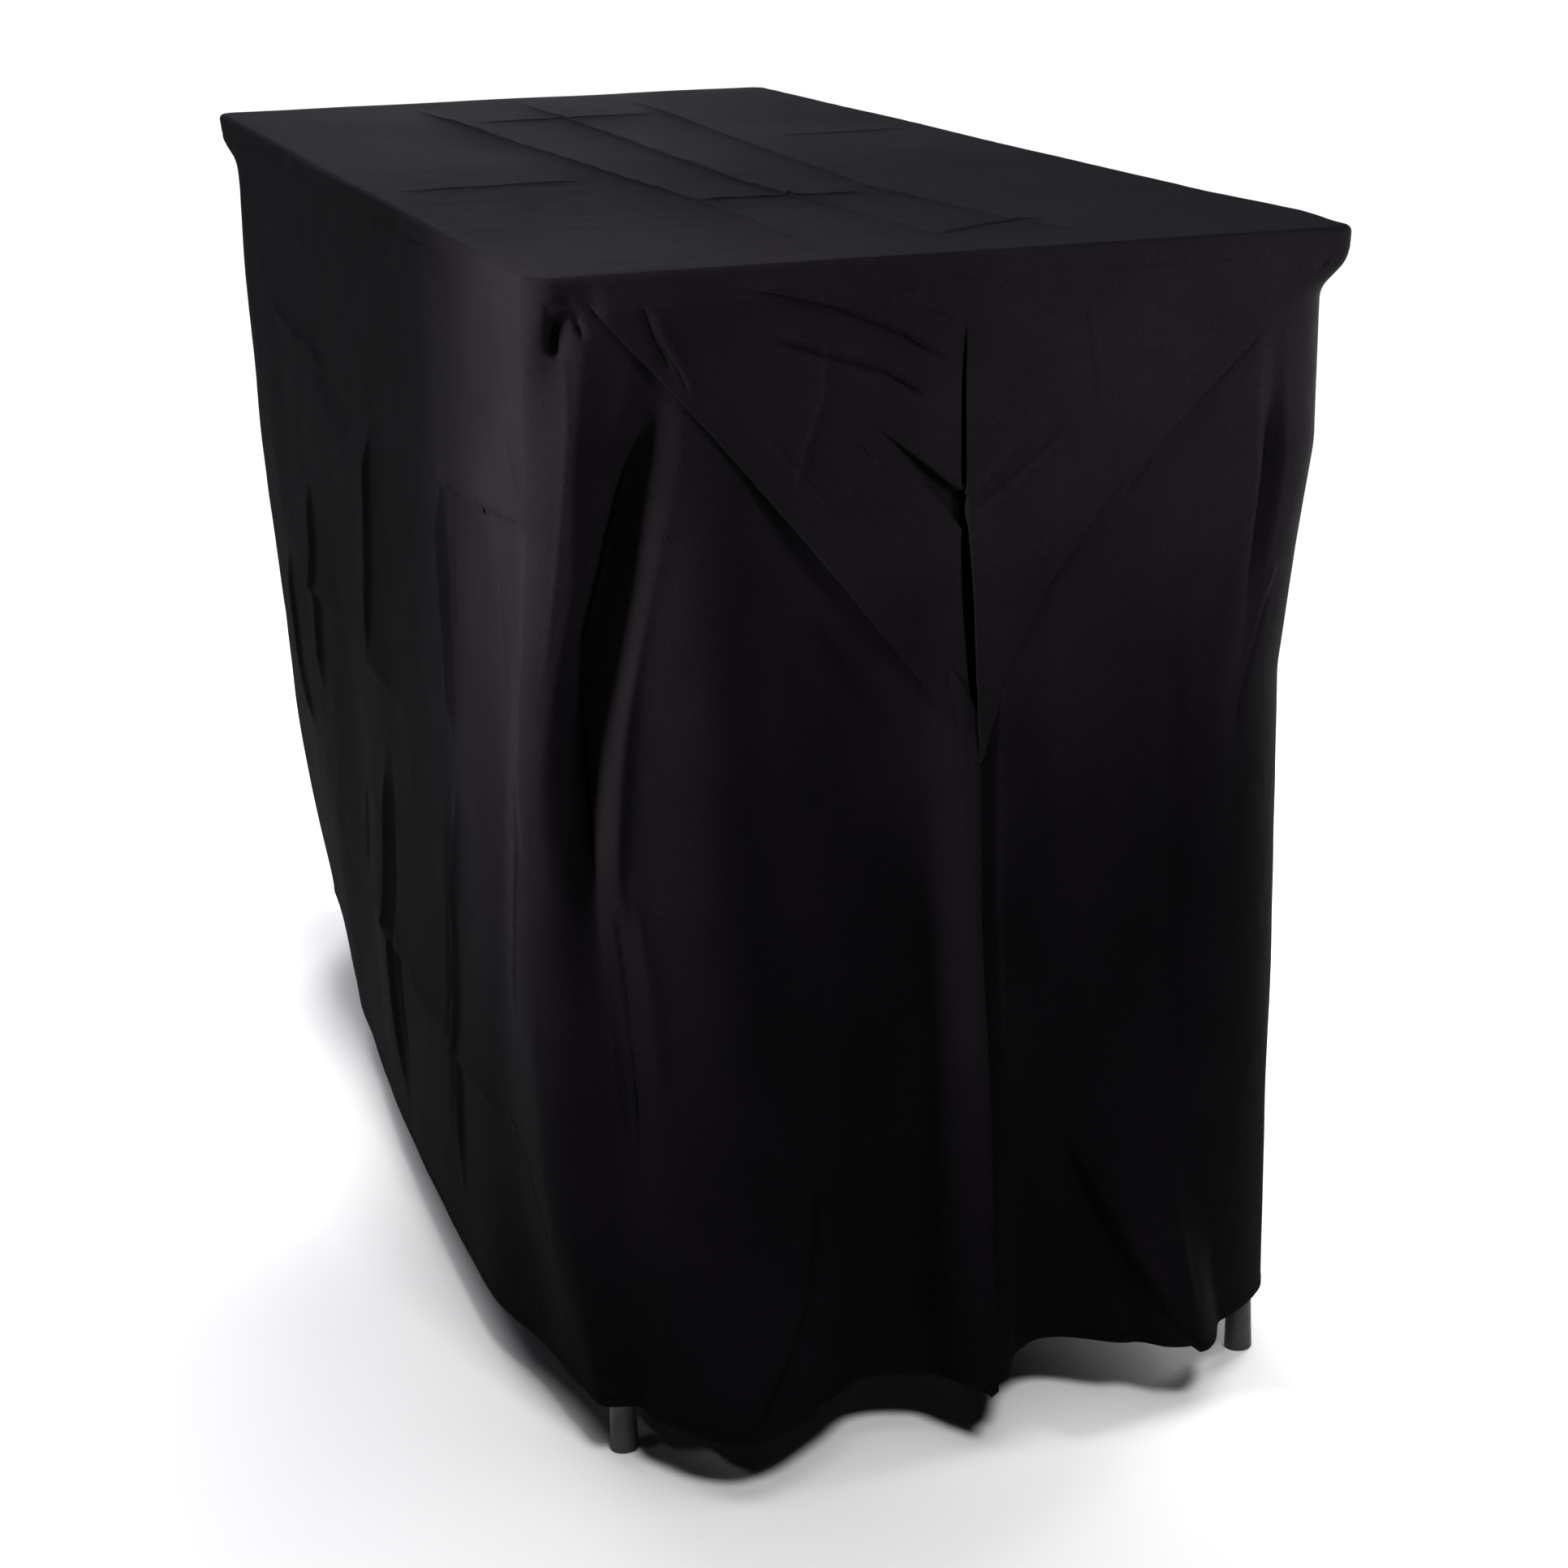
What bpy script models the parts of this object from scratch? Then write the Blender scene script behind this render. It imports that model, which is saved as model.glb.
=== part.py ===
"""Black table cover draped over a bar-height folding table.

Frame: metres, +Z up, floor at z = 0, origin under the middle of the table.
The short end that shows the V fold faces -Y, the long side that shows faces -X.

The cover is one closed sheet. Its skirt is laid out on the outline of the
table: `s` runs along the outline from the near left corner (N) over the near
right (R), far right (F) and far left (L) corners back to N, and `h` is the
depth below the top of the cloth. Every fold pushes the skirt out of, or into,
that outline.
"""

import math

import bmesh
import bpy
import numpy as np
from mathutils import Vector
from mathutils.geometry import delaunay_2d_cdt

for old in list(bpy.data.objects):
    bpy.data.objects.remove(old, do_unlink=True)

# ---- named sizes (metres) ----
TABLE_LENGTH = 1.80
TABLE_WIDTH = 0.74
TABLE_HEIGHT = 1.10
PANEL_THICK = 0.027
PANEL_CORNER = 0.040
REST_GAP = 0.0003  # cloth on the panel, panel on the legs, leg in the foot
EDGE_GAP = 0.002  # cloth clear of the panel's edges
CLOTH = 0.002
HEM_THICK = 0.0026
HEM_WIDTH = 0.012
EDGE_ROUND = 0.006  # roll of the cloth over the panel's edge
DROP = 1.038  # top of the cloth down to the hem

TUBE_RADIUS = 0.0110
FOOT_TOP_RADIUS = 0.0117
FOOT_RADIUS = 0.0135
FOOT_HEIGHT = 0.070
FOOT_LIP = 0.002
LEG_INSET_NEAR = (0.058, 0.080)  # from the panel's side and end
LEG_INSET_FAR = (0.140, 0.090)  # this pair folds inside the other one

Z_TOP = TABLE_HEIGHT + REST_GAP + CLOTH
HALF_X = TABLE_WIDTH / 2 + EDGE_GAP + CLOTH
HALF_Y = TABLE_LENGTH / 2 + EDGE_GAP + CLOTH
END = 2 * HALF_X
SIDE = 2 * HALF_Y
ROUND = 2 * (END + SIDE)
CORNER_N, CORNER_R, CORNER_F, CORNER_L = 0.0, END, END + SIDE, 2 * END + SIDE
MID_FAR = END + SIDE + HALF_X  # s at the middle of the far end

# How the vertical corners open into round folds. Columns: depth, radius.
CORNER_ROUND = {
    CORNER_N: [(0.0, 0.024), (0.06, 0.030), (0.20, 0.036), (0.50, 0.045), (0.70, 0.070), (0.90, 0.100), (1.04, 0.126)],
    CORNER_R: [(0.0, 0.024), (0.028, 0.027), (0.036, 0.040), (0.060, 0.100), (0.20, 0.108), (0.30, 0.152), (0.42, 0.196), (1.04, 0.200)],
    CORNER_F: [(0.0, 0.024), (0.042, 0.024), (0.065, 0.050), (0.20, 0.080), (0.50, 0.120), (0.80, 0.160), (1.04, 0.180)],
    CORNER_L: [(0.0, 0.024), (0.008, 0.027), (0.018, 0.040), (0.032, 0.042), (0.050, 0.060), (0.20, 0.060), (0.50, 0.080), (0.80, 0.130), (1.04, 0.160)],
}


def near(x):
    """s of a point of the near end."""
    return x + HALF_X


def left(y):
    """s of a point of the left side, counted back from corner N."""
    return -(y + HALF_Y)


def right(y):
    return END + y + HALF_Y


def far(x):
    return END + SIDE + HALF_X - x


# Every fold: name, and rows of (depth, s, half width before, half width after, swing out).
FOLDS = {
    # near end
    "ridge below the left half of the V": [
        (0.10, near(-0.250), 0.06, 0.07, 0.000), (0.25, near(-0.236), 0.07, 0.09, 0.010), (0.45, near(-0.230), 0.09, 0.13, 0.018),
        (0.70, near(-0.222), 0.11, 0.14, 0.032), (0.90, near(-0.224), 0.12, 0.13, 0.048), (1.04, near(-0.222), 0.10, 0.12, 0.066)],
    "valley beside corner N": [
        (0.08, near(-0.268), 0.02, 0.02, 0.000), (0.13, near(-0.272), 0.04, 0.03, -0.012), (0.25, near(-0.306), 0.055, 0.045, -0.034),
        (0.40, near(-0.322), 0.065, 0.05, -0.050), (0.50, near(-0.326), 0.06, 0.045, -0.032), (0.60, near(-0.330), 0.07, 0.05, -0.022),
        (0.80, near(-0.332), 0.08, 0.06, -0.012), (0.94, near(-0.338), 0.07, 0.05, -0.008), (1.04, near(-0.345), 0.05, 0.03, -0.022)],
    "crease below that valley": [
        (0.52, near(-0.316), 0.02, 0.012, 0.000), (0.60, near(-0.310), 0.03, 0.014, -0.008), (0.72, near(-0.305), 0.03, 0.014, -0.010),
        (0.84, near(-0.308), 0.02, 0.012, -0.004), (0.88, near(-0.309), 0.02, 0.012, 0.000)],
    "pocket under corner N": [
        (0.025, near(-0.352), 0.03, 0.03, 0.000), (0.05, near(-0.355), 0.04, 0.03, -0.012), (0.09, near(-0.360), 0.04, 0.03, -0.010),
        (0.18, near(-0.364), 0.03, 0.02, -0.004), (0.28, near(-0.366), 0.03, 0.02, 0.000)],
    "ridge down corner N": [
        (0.16, left(-0.895), 0.06, 0.04, 0.000), (0.30, left(-0.880), 0.09, 0.05, 0.008), (0.45, left(-0.850), 0.12, 0.07, 0.014),
        (0.65, left(-0.820), 0.14, 0.09, 0.014), (0.85, left(-0.800), 0.17, 0.10, 0.002), (1.04, left(-0.810), 0.22, 0.12, -0.024)],
    "centre edge": [
        (0.44, near(0.010), 0.05, 0.07, 0.008), (0.60, near(0.010), 0.05, 0.09, 0.018), (0.80, near(0.011), 0.06, 0.07, 0.036),
        (0.93, near(0.010), 0.06, 0.05, 0.040), (1.04, near(0.007), 0.045, 0.045, 0.050)],
    "trough left of the centre edge": [
        (0.46, near(-0.050), 0.07, 0.05, 0.000), (0.60, near(-0.052), 0.08, 0.05, -0.010), (0.80, near(-0.070), 0.09, 0.06, -0.014),
        (1.04, near(-0.085), 0.05, 0.075, -0.022)],
    "swell right of the centre": [
        (0.20, near(0.110), 0.10, 0.10, 0.000), (0.45, near(0.100), 0.11, 0.12, 0.010), (0.70, near(0.095), 0.10, 0.12, 0.012),
        (0.90, near(0.088), 0.06, 0.08, -0.006), (1.04, near(0.088), 0.06, 0.075, -0.040)],
    "cone fold at the lower right": [
        (0.80, near(0.110), 0.03, 0.06, 0.000), (0.88, near(0.150), 0.04, 0.10, 0.014), (0.96, near(0.190), 0.05, 0.09, 0.032),
        (1.04, near(0.226), 0.06, 0.07, 0.040)],
    "valley beside corner R": [
        (0.10, near(0.300), 0.02, 0.02, 0.000), (0.16, near(0.304), 0.03, 0.02, -0.010), (0.23, near(0.308), 0.03, 0.022, -0.014),
        (0.29, near(0.306), 0.025, 0.02, -0.008), (0.36, near(0.305), 0.02, 0.02, 0.000)],
    "ridge before that valley": [
        (0.06, near(0.275), 0.04, 0.03, 0.000), (0.14, near(0.276), 0.05, 0.03, 0.006), (0.25, near(0.270), 0.06, 0.04, 0.008),
        (0.45, near(0.255), 0.07, 0.05, 0.004), (0.60, near(0.262), 0.07, 0.05, 0.000)],
    "hollow below the left edge of the V": [
        (0.16, near(-0.190), 0.06, 0.05, 0.000), (0.26, near(-0.140), 0.07, 0.06, -0.006), (0.36, near(-0.090), 0.08, 0.07, -0.008),
        (0.46, near(-0.070), 0.07, 0.07, -0.004), (0.54, near(-0.070), 0.06, 0.06, 0.000)],
    # left side
    "belly of the left side": [
        (0.20, left(-0.20), 0.70, 0.55, 0.000), (0.55, left(-0.35), 0.80, 0.50, 0.010), (0.85, left(-0.30), 0.60, 0.50, 0.012),
        (1.04, left(-0.40), 0.45, 0.30, 0.010)],
    "draw-in towards corner L": [
        (0.02, left(0.93), 0.16, 0.20, 0.000), (0.05, left(0.93), 0.16, 0.22, -0.024), (0.20, left(0.93), 0.16, 0.22, -0.018),
        (0.40, left(0.91), 0.18, 0.34, -0.014), (0.58, left(0.92), 0.20, 0.50, -0.022), (0.80, left(0.93), 0.24, 0.70, -0.038),
        (0.92, left(0.94), 0.26, 0.84, -0.052), (1.04, left(0.95), 0.28, 0.95, -0.072)],
    "long fold of the left side": [
        (0.20, left(-0.62), 0.10, 0.09, 0.000), (0.40, left(-0.64), 0.14, 0.10, 0.005), (0.80, left(-0.60), 0.16, 0.12, 0.006),
        (1.04, left(-0.58), 0.18, 0.14, 0.004)],
    "valley before corner L": [
        (0.08, left(0.84), 0.03, 0.05, 0.000), (0.18, left(0.84), 0.04, 0.06, -0.012), (0.35, left(0.83), 0.05, 0.08, -0.016),
        (0.55, left(0.82), 0.06, 0.10, -0.010), (0.80, left(0.80), 0.06, 0.10, 0.000)],
    "second fold of the left side": [
        (0.30, left(0.05), 0.14, 0.14, 0.000), (0.60, left(0.08), 0.16, 0.14, -0.006), (0.90, left(0.10), 0.18, 0.16, -0.006),
        (1.04, left(0.12), 0.18, 0.16, -0.004)],
    # right side, which hangs more freely
    "belly of the right side": [
        (0.20, right(0.0), 0.70, 0.70, 0.000), (0.60, right(0.05), 0.75, 0.70, 0.014), (1.04, right(0.10), 0.75, 0.70, 0.022)],
    "first fold of the right side": [
        (0.25, right(-0.45), 0.10, 0.12, 0.000), (0.60, right(-0.44), 0.12, 0.13, -0.008), (1.04, right(-0.40), 0.14, 0.15, -0.018)],
    "second fold of the right side": [
        (0.30, right(0.28), 0.12, 0.10, 0.000), (0.70, right(0.30), 0.14, 0.12, -0.010), (1.04, right(0.33), 0.15, 0.14, -0.020)],
    "corner R drawn in at the hem": [
        (0.75, right(-0.78), 0.12, 0.20, 0.000), (0.88, right(-0.76), 0.12, 0.22, -0.012), (1.04, right(-0.76), 0.12, 0.24, -0.017)],
    # far end
    "wing beside corner L": [
        (0.06, far(-0.330), 0.05, 0.03, 0.000), (0.14, far(-0.335), 0.06, 0.035, 0.018), (0.35, far(-0.338), 0.07, 0.04, 0.028),
        (0.60, far(-0.335), 0.07, 0.05, 0.020), (0.90, far(-0.320), 0.07, 0.06, 0.010), (1.04, far(-0.310), 0.07, 0.06, 0.000)],
    "left ridge of the far end": [
        (0.12, far(-0.240), 0.07, 0.07, 0.000), (0.45, far(-0.225), 0.10, 0.09, 0.016), (0.80, far(-0.220), 0.12, 0.10, 0.036),
        (1.04, far(-0.215), 0.12, 0.10, 0.054)],
    "right ridge of the far end": [
        (0.12, far(0.235), 0.07, 0.07, 0.000), (0.45, far(0.222), 0.10, 0.10, 0.018), (0.80, far(0.225), 0.12, 0.11, 0.040),
        (1.04, far(0.230), 0.12, 0.12, 0.060)],
    "centre edge of the far end": [
        (0.44, far(-0.008), 0.06, 0.06, 0.008), (0.75, far(-0.008), 0.07, 0.07, 0.030), (1.04, far(-0.010), 0.07, 0.07, 0.052)],
    "valley beside corner F": [
        (0.10, far(0.280), 0.03, 0.03, 0.000), (0.30, far(0.300), 0.05, 0.05, -0.026), (0.50, far(0.305), 0.05, 0.05, -0.030),
        (0.75, far(0.300), 0.06, 0.05, -0.010), (0.95, far(0.300), 0.05, 0.05, 0.000)],
}

# The V at each end: depth of its edge against the distance from the middle of the end.
# Columns: distance from the middle, depth of the edge.
V_NEAR_LEFT = [(HALF_X, 0.000), (0.350, 0.022), (0.276, 0.093), (0.158, 0.218), (0.063, 0.354), (-0.011, 0.449)]
V_NEAR_RIGHT = [(HALF_X, 0.000), (0.320, 0.046), (0.189, 0.174), (0.147, 0.218), (0.089, 0.297), (0.043, 0.409), (0.011, 0.449)]
V_FAR = [(HALF_X, 0.000), (0.276, 0.094), (0.150, 0.222), (0.060, 0.345), (0.000, 0.430)]
V_LIFT = 0.0055  # the folded layers of the V stand proud of the skirt
V_STEP = 0.0035  # width of that step
# The open pleat down the middle of the V. Columns: depth, x of its middle, half width.
SLIT_NEAR = [(0.055, 0.004, 0.0015), (0.110, 0.004, 0.0045), (0.190, 0.002, 0.0050), (0.225, 0.000, 0.0030), (0.300, 0.002, 0.0060),
             (0.380, 0.006, 0.0060), (0.430, 0.009, 0.0035), (0.447, 0.011, 0.0010)]
SLIT_FAR = [(0.080, 0.000, 0.0015), (0.150, 0.000, 0.0045), (0.300, 0.000, 0.0060), (0.410, 0.000, 0.0040), (0.428, 0.000, 0.0010)]
SLIT_DEPTH = 0.014


def along(depth, rows, column, blur=0.035):
    """A column of a table at these depths, with its corners smoothed."""
    knots = np.array([row[0] for row in rows], float)
    values = np.array([row[column] for row in rows], float)
    taps = (-1.0, -0.5, 0.0, 0.5, 1.0)
    return sum(np.interp(depth + tap * blur, knots, values) for tap in taps) / len(taps)


# The cloth rolls wide of the panel's edge in places. Columns: s, half width before, half width after, stand-off.
WIDE_OF_THE_EDGE = [(right(-0.765), 0.11, 0.22, 0.010), (right(0.30), 0.25, 0.25, 0.003), (near(-0.250), 0.09, 0.12, 0.003)]


def round_the_table(distance):
    """A distance along the outline, brought into -ROUND/2 .. ROUND/2."""
    return (distance + ROUND / 2) % ROUND - ROUND / 2


def swing(s, h):
    """How far the skirt stands out from the table's outline."""
    out = np.zeros_like(s)
    for rows in FOLDS.values():
        middle, before, after, size = (along(h, rows, column) for column in (1, 2, 3, 4))
        off = round_the_table(s - middle)
        t = np.abs(off) / np.where(off < 0, before, after)
        out += size * np.where(t < 1, (1 - np.minimum(t, 1) ** 2) ** 2, 0)
    # tight against the panel's edge, free below it
    return out * np.clip((h - 0.031) / 0.028, 0, 1)


def v_depth(s):
    """Depth of the V's edge at s, or a negative number off the two ends."""
    x_near, x_far = s - HALF_X, MID_FAR - s
    depth = np.full_like(s, -1.0)
    for x, sides in ((x_near, (V_NEAR_LEFT, V_NEAR_RIGHT)), (x_far, (V_FAR, V_FAR))):
        for sign, rows in zip((-1, 1), sides):
            d = np.array([row[0] for row in rows])[::-1]
            e = np.array([row[1] for row in rows])[::-1]
            here = (np.abs(x) <= HALF_X) & (sign * x >= d[0])
            depth = np.where(here, np.maximum(depth, np.interp(sign * x, d, e)), depth)
    return depth


def in_the_v(s, h):
    """0 below the V's edge, 1 inside it."""
    return np.clip((v_depth(s) - h) / V_STEP, 0, 1) * np.clip(v_depth(s) * 50, 0, 1)


def slit(s, h):
    """0 outside the open pleat, 1 at its bottom."""
    deep = np.zeros_like(s)
    for x, rows in ((s - HALF_X, SLIT_NEAR), (MID_FAR - s, SLIT_FAR)):
        middle, wide = along(h, rows, 1, 0.01), along(h, rows, 2, 0.01)
        inside = (h > rows[0][0]) & (h < rows[-1][0])
        deep = np.maximum(deep, np.where(inside, np.clip(1.6 - np.abs(x - middle) / wide, 0, 1), 0))
    return deep


def offset(s, h):
    """The skirt's swing with the V laid over it."""
    skirt = swing(s, h)
    cover = in_the_v(s, h)
    flat = V_LIFT + 0.35 * np.maximum(skirt, 0) + 0.010 * np.clip(h / 0.45, 0, 1) ** 2
    flat = flat * np.clip(h / 0.03, 0, 1)
    return skirt * (1 - cover) + flat * cover - SLIT_DEPTH * slit(s, h)


def outline(s, h):
    """Point and outward direction on the table's outline, with the corners opened to their radius."""
    s = np.mod(s, ROUND)
    x = np.select([s < CORNER_R, s < CORNER_F, s < CORNER_L], [s - HALF_X, HALF_X, MID_FAR - s], -HALF_X)
    y = np.select([s < CORNER_R, s < CORNER_F, s < CORNER_L], [-HALF_Y, s - END - HALF_Y, HALF_Y], HALF_Y - (s - CORNER_L))
    nx = np.select([s < CORNER_R, s < CORNER_F, s < CORNER_L], [0.0, 1.0, 0.0], -1.0)
    ny = np.select([s < CORNER_R, s < CORNER_F, s < CORNER_L], [-1.0, 0.0, 1.0], 0.0)
    for corner, (sx, sy) in zip((CORNER_N, CORNER_R, CORNER_F, CORNER_L), ((-1, -1), (1, -1), (1, 1), (-1, 1))):
        radius = along(h, CORNER_ROUND[corner], 1, 0.008)
        d = round_the_table(s - corner)
        turn = math.atan2(sy, sx) + math.pi / 4 * d / radius
        here = np.abs(d) < radius
        x = np.where(here, sx * (HALF_X - radius) + radius * np.cos(turn), x)
        y = np.where(here, sy * (HALF_Y - radius) + radius * np.sin(turn), y)
        nx = np.where(here, np.cos(turn), nx)
        ny = np.where(here, np.sin(turn), ny)
    return x, y, nx, ny


def skirt_points(s, h):
    """Outer and inner points of the skirt."""
    x, y, nx, ny = outline(s, h)
    wide = sum(
        size * np.clip(1 - (off / np.where(off < 0, before, after)) ** 2, 0, 1) ** 2
        for off, before, after, size in ((round_the_table(s - middle), before, after, size) for middle, before, after, size in WIDE_OF_THE_EDGE)
    )
    out = offset(s, h) + wide * np.clip((0.085 - h) / 0.05, 0, 1)
    step = 0.004
    slope_h = (offset(s, h + step) - offset(s, h - step)) / (2 * step)
    slope_s = (offset(s + step, h) - offset(s - step, h)) / (2 * step)
    thick = np.where(h > DROP - HEM_WIDTH, HEM_THICK, CLOTH)
    thick = thick * np.where(h > 0.045, np.minimum(np.sqrt(1 + slope_h**2 + slope_s**2), 1.8), 1)
    # the roll over the edge: a quarter circle in the first EDGE_ROUND of depth
    lean = np.clip((EDGE_ROUND - h) / EDGE_ROUND, 0, 1)
    inset = EDGE_ROUND * (1 - np.sqrt(1 - lean**2))
    ox, oy = x + nx * (out - inset), y + ny * (out - inset)
    outer = np.stack([ox, oy, Z_TOP - h], axis=-1)
    level = np.sqrt(1 - lean**2)
    thick = np.where(lean > 0, CLOTH, thick)
    inner = outer - np.stack([nx * level * thick, ny * level * thick, lean * thick], axis=-1)
    return outer, inner


def spread(start, stop, count):
    return [start + (stop - start) * i / count for i in range(count)]


def grid_columns():
    """Stations along the outline, closer round the corners and where there are folds."""
    bend = [-0.024, -0.012, 0.0, 0.012, 0.024]
    near_end = spread(0.036, END - 0.12, 20) + spread(END - 0.12, END - 0.03, 4)
    right_side = spread(END + 0.05, END + 0.15, 2) + spread(END + 0.15, CORNER_F - 0.14, 10) + spread(CORNER_F - 0.14, CORNER_F - 0.03, 3)
    far_end = spread(CORNER_F + 0.045, CORNER_L - 0.04, 18)
    left_side = spread(CORNER_L + 0.05, CORNER_L + 0.15, 2) + spread(CORNER_L + 0.15, ROUND - 0.20, 14) + spread(ROUND - 0.20, ROUND - 0.03, 6)
    corners = [(corner + b) % ROUND for corner in (CORNER_N, CORNER_R, CORNER_F, CORNER_L) for b in bend]
    return sorted(near_end + right_side + far_end + left_side + corners)


def grid_rows():
    return [0.0, 0.0018, EDGE_ROUND, 0.034] + spread(0.06, DROP - HEM_WIDTH, 19) + [DROP - HEM_WIDTH, DROP]


def v_lines():
    """Lines of the V and of its pleat, as lists of (s, h): the mesh follows them."""
    lines = []
    for place, sides in ((near, ((-1, V_NEAR_LEFT), (1, V_NEAR_RIGHT))), (far, ((-1, V_FAR), (1, V_FAR)))):
        for sign, rows in sides:
            distance = [row[0] for row in rows]
            count = 13
            samples = [distance[0] + (distance[-1] - distance[0]) * (i + 0.7) / (count + 0.2) for i in range(count)]
            depth = np.interp(samples, distance[::-1], [row[1] for row in rows][::-1])
            for back in (-0.014, 0.0, V_STEP, V_STEP + 0.014):
                lines.append([(place(sign * d), e - back) for d, e in zip(samples, depth) if e - back > 0.012])
    for place, rows in ((near, SLIT_NEAR), (far, SLIT_FAR)):
        depths = np.linspace(rows[0][0] + 0.004, rows[-1][0] - 0.006, 9)
        middle, wide = along(depths, rows, 1, 0.01), along(depths, rows, 2, 0.01)
        for share in (-1.6, -0.6, 0.6, 1.6):
            lines.append([(place(m + share * w), float(d)) for m, w, d in zip(middle, wide, depths)])
    return lines


def cloth_mesh():
    """The closed sheet: the skirt's outside, the top, the same again inside, and the hem's edge."""
    lines = v_lines()
    line_points = np.array([point for line in lines for point in line])
    points, edges, ids = [], [], {}

    def add(s, h):
        key = (round(s, 6), round(h, 6))
        if key not in ids:
            ids[key] = len(points)
            points.append(key)
        return ids[key]

    columns, rows = grid_columns() + [ROUND], grid_rows()
    for i, s in enumerate(columns):
        for j, h in enumerate(rows):
            edge = i in (0, len(columns) - 1) or j in (0, 1, 2, len(rows) - 2, len(rows) - 1)
            if not edge and np.hypot(*(line_points - (s, h)).T).min() < 0.011:
                continue
            add(s, h)
    for j in (0, 1, 2, len(rows) - 2, len(rows) - 1):
        for a, b in zip(columns, columns[1:]):
            edges.append((add(a, rows[j]), add(b, rows[j])))
    for line in lines:
        chain = [add(*point) for point in line]
        edges += [pair for pair in zip(chain, chain[1:]) if pair[0] != pair[1]]
    flat, _, faces = delaunay_2d_cdt([Vector(p) for p in points], edges, [], 0, 1e-7)[:3]
    flat = np.array([tuple(p) for p in flat])
    s, h = flat[:, 0], flat[:, 1]
    outer, inner = skirt_points(s, h)
    # the strip's two ends are one line
    merge = {}
    first = {round(float(h[k]), 6): k for k in range(len(h)) if s[k] < 1e-6}
    for k in range(len(h)):
        merge[k] = first[round(float(h[k]), 6)] if s[k] > ROUND - 1e-6 else k
    mesh = bmesh.new()
    out = {k: mesh.verts.new(outer[k]) for k in set(merge.values())}
    ins = {k: mesh.verts.new(inner[k]) for k in set(merge.values())}
    for face in faces:
        a = [merge[k] for k in face]
        if len(set(a)) < 3:
            continue
        turn = sum((flat[face[i]][0] * flat[face[(i + 1) % 3]][1] - flat[face[(i + 1) % 3]][0] * flat[face[i]][1]) for i in range(3))
        if turn > 0:
            a = a[::-1]
        mesh.faces.new([out[k] for k in a])
        mesh.faces.new([ins[k] for k in reversed(a)])
    hem = sorted((float(s[k]), k) for k in range(len(h)) if abs(h[k] - DROP) < 1e-6 and s[k] < ROUND - 1e-6)
    ring = [k for _, k in hem]
    for a, b in zip(ring, ring[1:] + ring[:1]):
        mesh.faces.new([out[b], out[a], ins[a], ins[b]])
    # the top: the skirt's first row, filled in flat
    rim = [k for _, k in sorted((float(s[k]), k) for k in range(len(h)) if h[k] < 1e-6 and s[k] < ROUND - 1e-6)]
    border = [Vector(outer[k][:2]) for k in rim]
    inside = [Vector((x, y)) for x in spread(-0.30, 0.45, 5)[:5] for y in spread(-0.80, 1.00, 9)]
    loop = [(i, (i + 1) % len(border)) for i in range(len(border))]
    top_points, _, top_faces, origin = delaunay_2d_cdt(border + inside, loop, [], 1, 1e-7)[:4]
    upper, lower = {}, {}
    for k, point in enumerate(top_points):
        source = origin[k][0] if origin[k] else None
        if source is not None and source < len(rim):
            upper[k], lower[k] = out[rim[source]], ins[rim[source]]
        else:
            upper[k] = mesh.verts.new((point.x, point.y, Z_TOP))
            lower[k] = mesh.verts.new((point.x, point.y, Z_TOP - CLOTH))
    for face in top_faces:
        p = [top_points[k] for k in face]
        turn = sum(p[i].x * p[(i + 1) % len(p)].y - p[(i + 1) % len(p)].x * p[i].y for i in range(len(p)))
        face = list(face) if turn > 0 else list(face)[::-1]
        mesh.faces.new([upper[k] for k in face])
        mesh.faces.new([lower[k] for k in reversed(face)])
    return mesh


def material(name, colour, roughness, metallic=0.0):
    made = bpy.data.materials.new(name)
    made.use_nodes = True
    shader = made.node_tree.nodes["Principled BSDF"]
    shader.inputs["Base Color"].default_value = (*colour, 1)
    shader.inputs["Roughness"].default_value = roughness
    shader.inputs["Metallic"].default_value = metallic
    made.diffuse_color = (*colour, 1)
    return made


def place(name, mesh, slot, location=(0, 0, 0), smooth=False):
    data = bpy.data.meshes.new(name)
    bmesh.ops.triangulate(mesh, faces=mesh.faces[:])
    mesh.to_mesh(data)
    mesh.free()
    obj = bpy.data.objects.new(name, data)
    obj.location = location
    obj.data.materials.append(slot)
    for polygon in data.polygons:
        polygon.use_smooth = smooth
    bpy.context.scene.collection.objects.link(obj)
    return obj


def turned(profile, segments=24):
    """A round piece from (radius, height) stations, closed at both ends."""
    mesh = bmesh.new()
    rings = [
        [mesh.verts.new((r * math.cos(2 * math.pi * i / segments), r * math.sin(2 * math.pi * i / segments), z)) for i in range(segments)]
        for r, z in profile
    ]
    for low, high in zip(rings, rings[1:]):
        for i in range(segments):
            j = (i + 1) % segments
            mesh.faces.new([low[i], low[j], high[j], high[i]])
    mesh.faces.new(rings[0][::-1])
    mesh.faces.new(rings[-1])
    return mesh


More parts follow.
